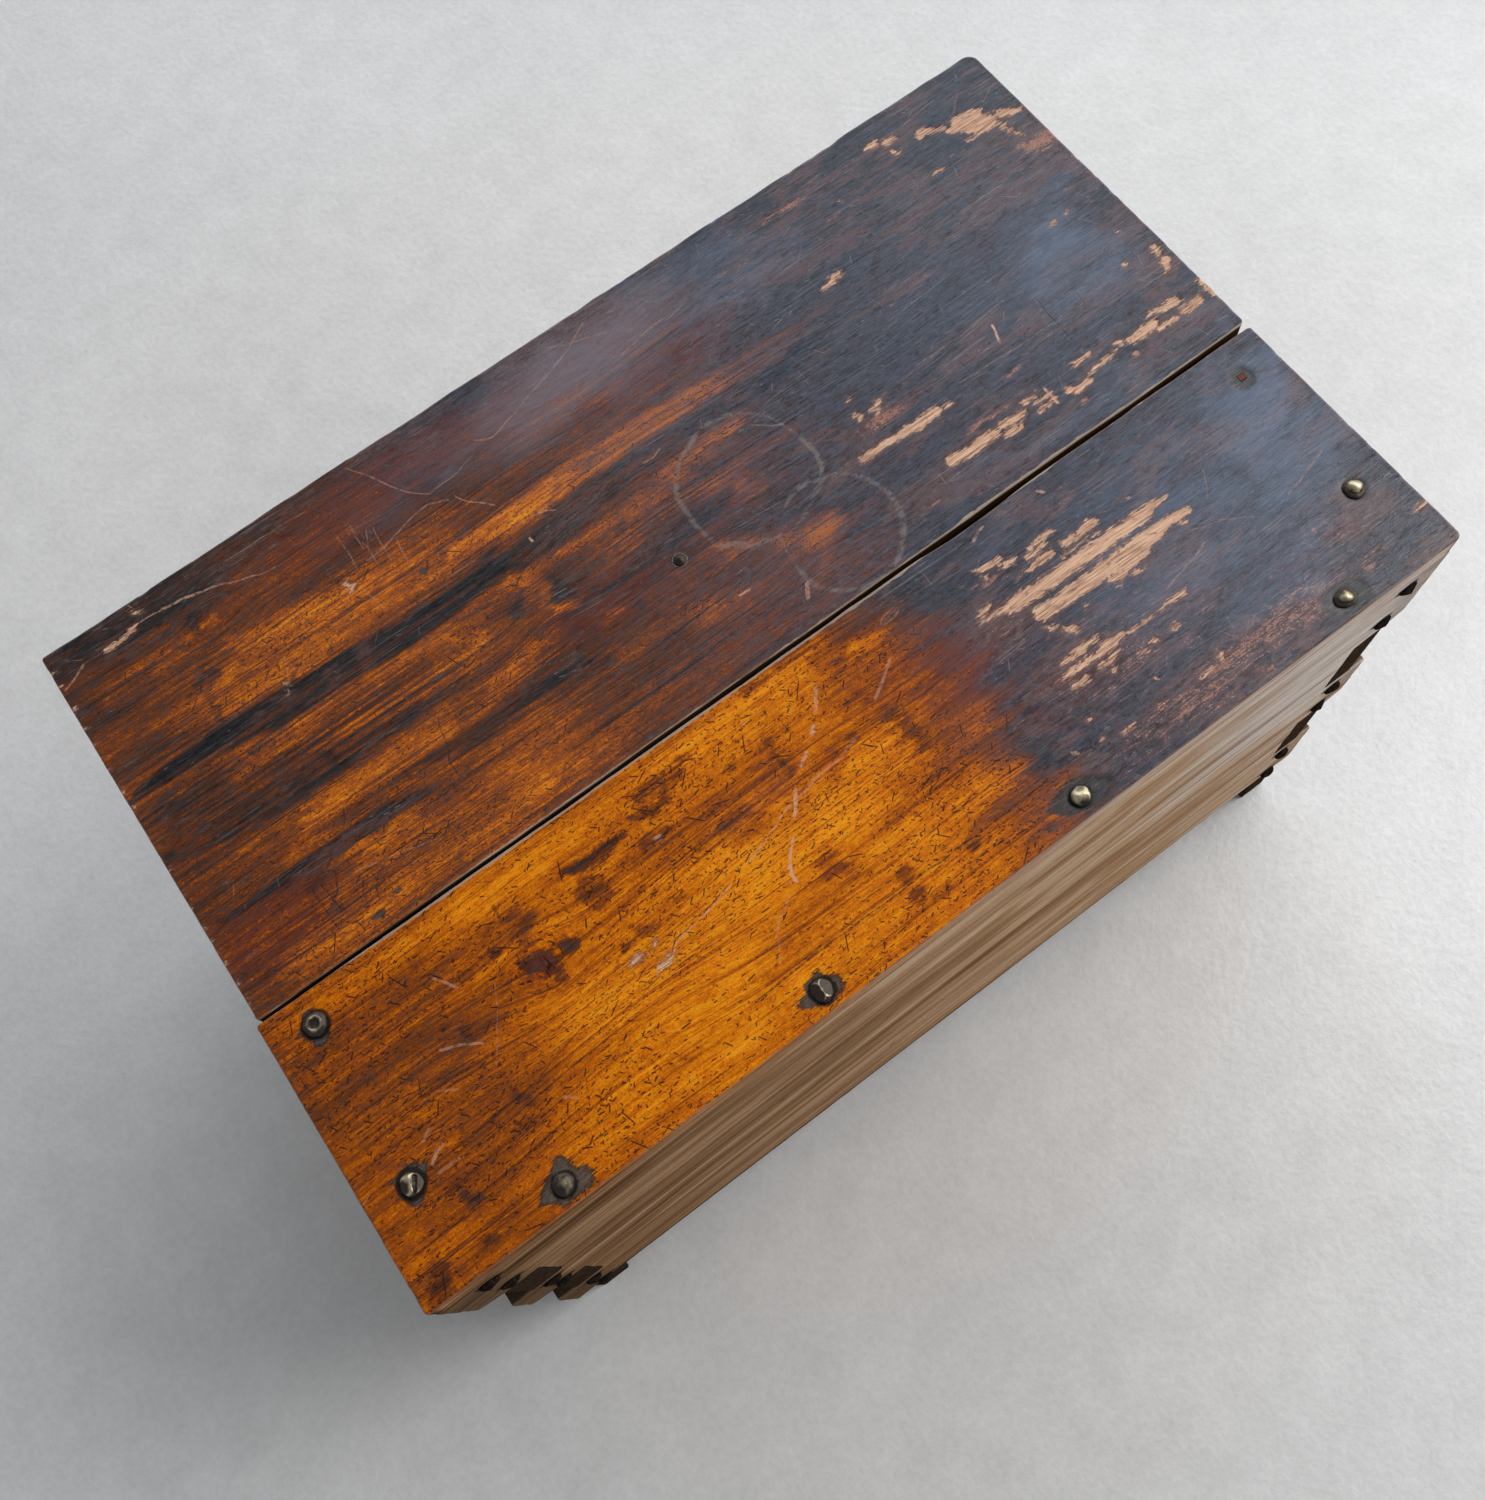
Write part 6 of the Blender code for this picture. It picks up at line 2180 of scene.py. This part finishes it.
def make_light():
    """Light from all round, strongest from the back right, and one soft lamp."""
    world = bpy.data.worlds.new("studio")
    bpy.context.scene.world = world
    n = Nodes(world, "Background")
    way = n.node("TexCoord", {}).outputs["Generated"]
    up, aside = (
        n.node("VectorMath", {0: way, 1: toward}, operation="DOT_PRODUCT").outputs["Value"]
        for toward in ((0, 0, 1), BRIGHT_SIDE)
    )
    room = n.step(up, *CEILING_EDGE, WALL_LEVEL, CEILING_LEVEL)
    n.give("Color", ROOM_TINT)
    n.give("Strength", n.step(aside, *BRIGHT_SIDE_EDGE, room, BRIGHT_SIDE_LEVEL))
    lamp = bpy.data.lights.new("window", "AREA")
    lamp.shape = "RECTANGLE"
    lamp.size, lamp.size_y = LAMP_SIZE
    lamp.energy = LAMP_POWER
    holder = new_object("window", lamp)
    holder.location = LAMP_PLACE
    holder.rotation_euler = (Vector(LAMP_TARGET) - Vector(LAMP_PLACE)).to_track_quat("-Z", "Y").to_euler()


def make_camera():
    """The camera of the photograph."""
    data = bpy.data.cameras.new("camera")
    data.sensor_fit = "AUTO"
    data.sensor_width = SENSOR
    longest = max(PICTURE_WIDTH, PICTURE_HEIGHT)
    data.lens = FOCAL_PIXELS / longest * SENSOR
    data.shift_x = (PICTURE_WIDTH / 2 - CENTRE_PIXEL[0]) / longest
    data.shift_y = (CENTRE_PIXEL[1] - PICTURE_HEIGHT / 2) / longest
    camera = new_object("camera", data)
    turn = Matrix((Vector(CAMERA_RIGHT), -Vector(CAMERA_DOWN), -Vector(CAMERA_FORWARD))).transposed()
    camera.matrix_world = Matrix.Translation(CAMERA_PLACE) @ turn.to_4x4()
    bpy.context.scene.camera = camera


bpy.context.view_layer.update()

top_board("top_plank", TOP_NAILS, PLANK_MARKS, "chest")
top_board("lid_board", ["lid_nail"], LID_MARKS, "lid")
wall_board("front", -1, 100)
wall_board("back", 1, 120)
make_nails()
dress_plain_nodes()
make_floor()
make_light()
make_camera()

bpy.context.scene.view_settings.view_transform = "Standard"
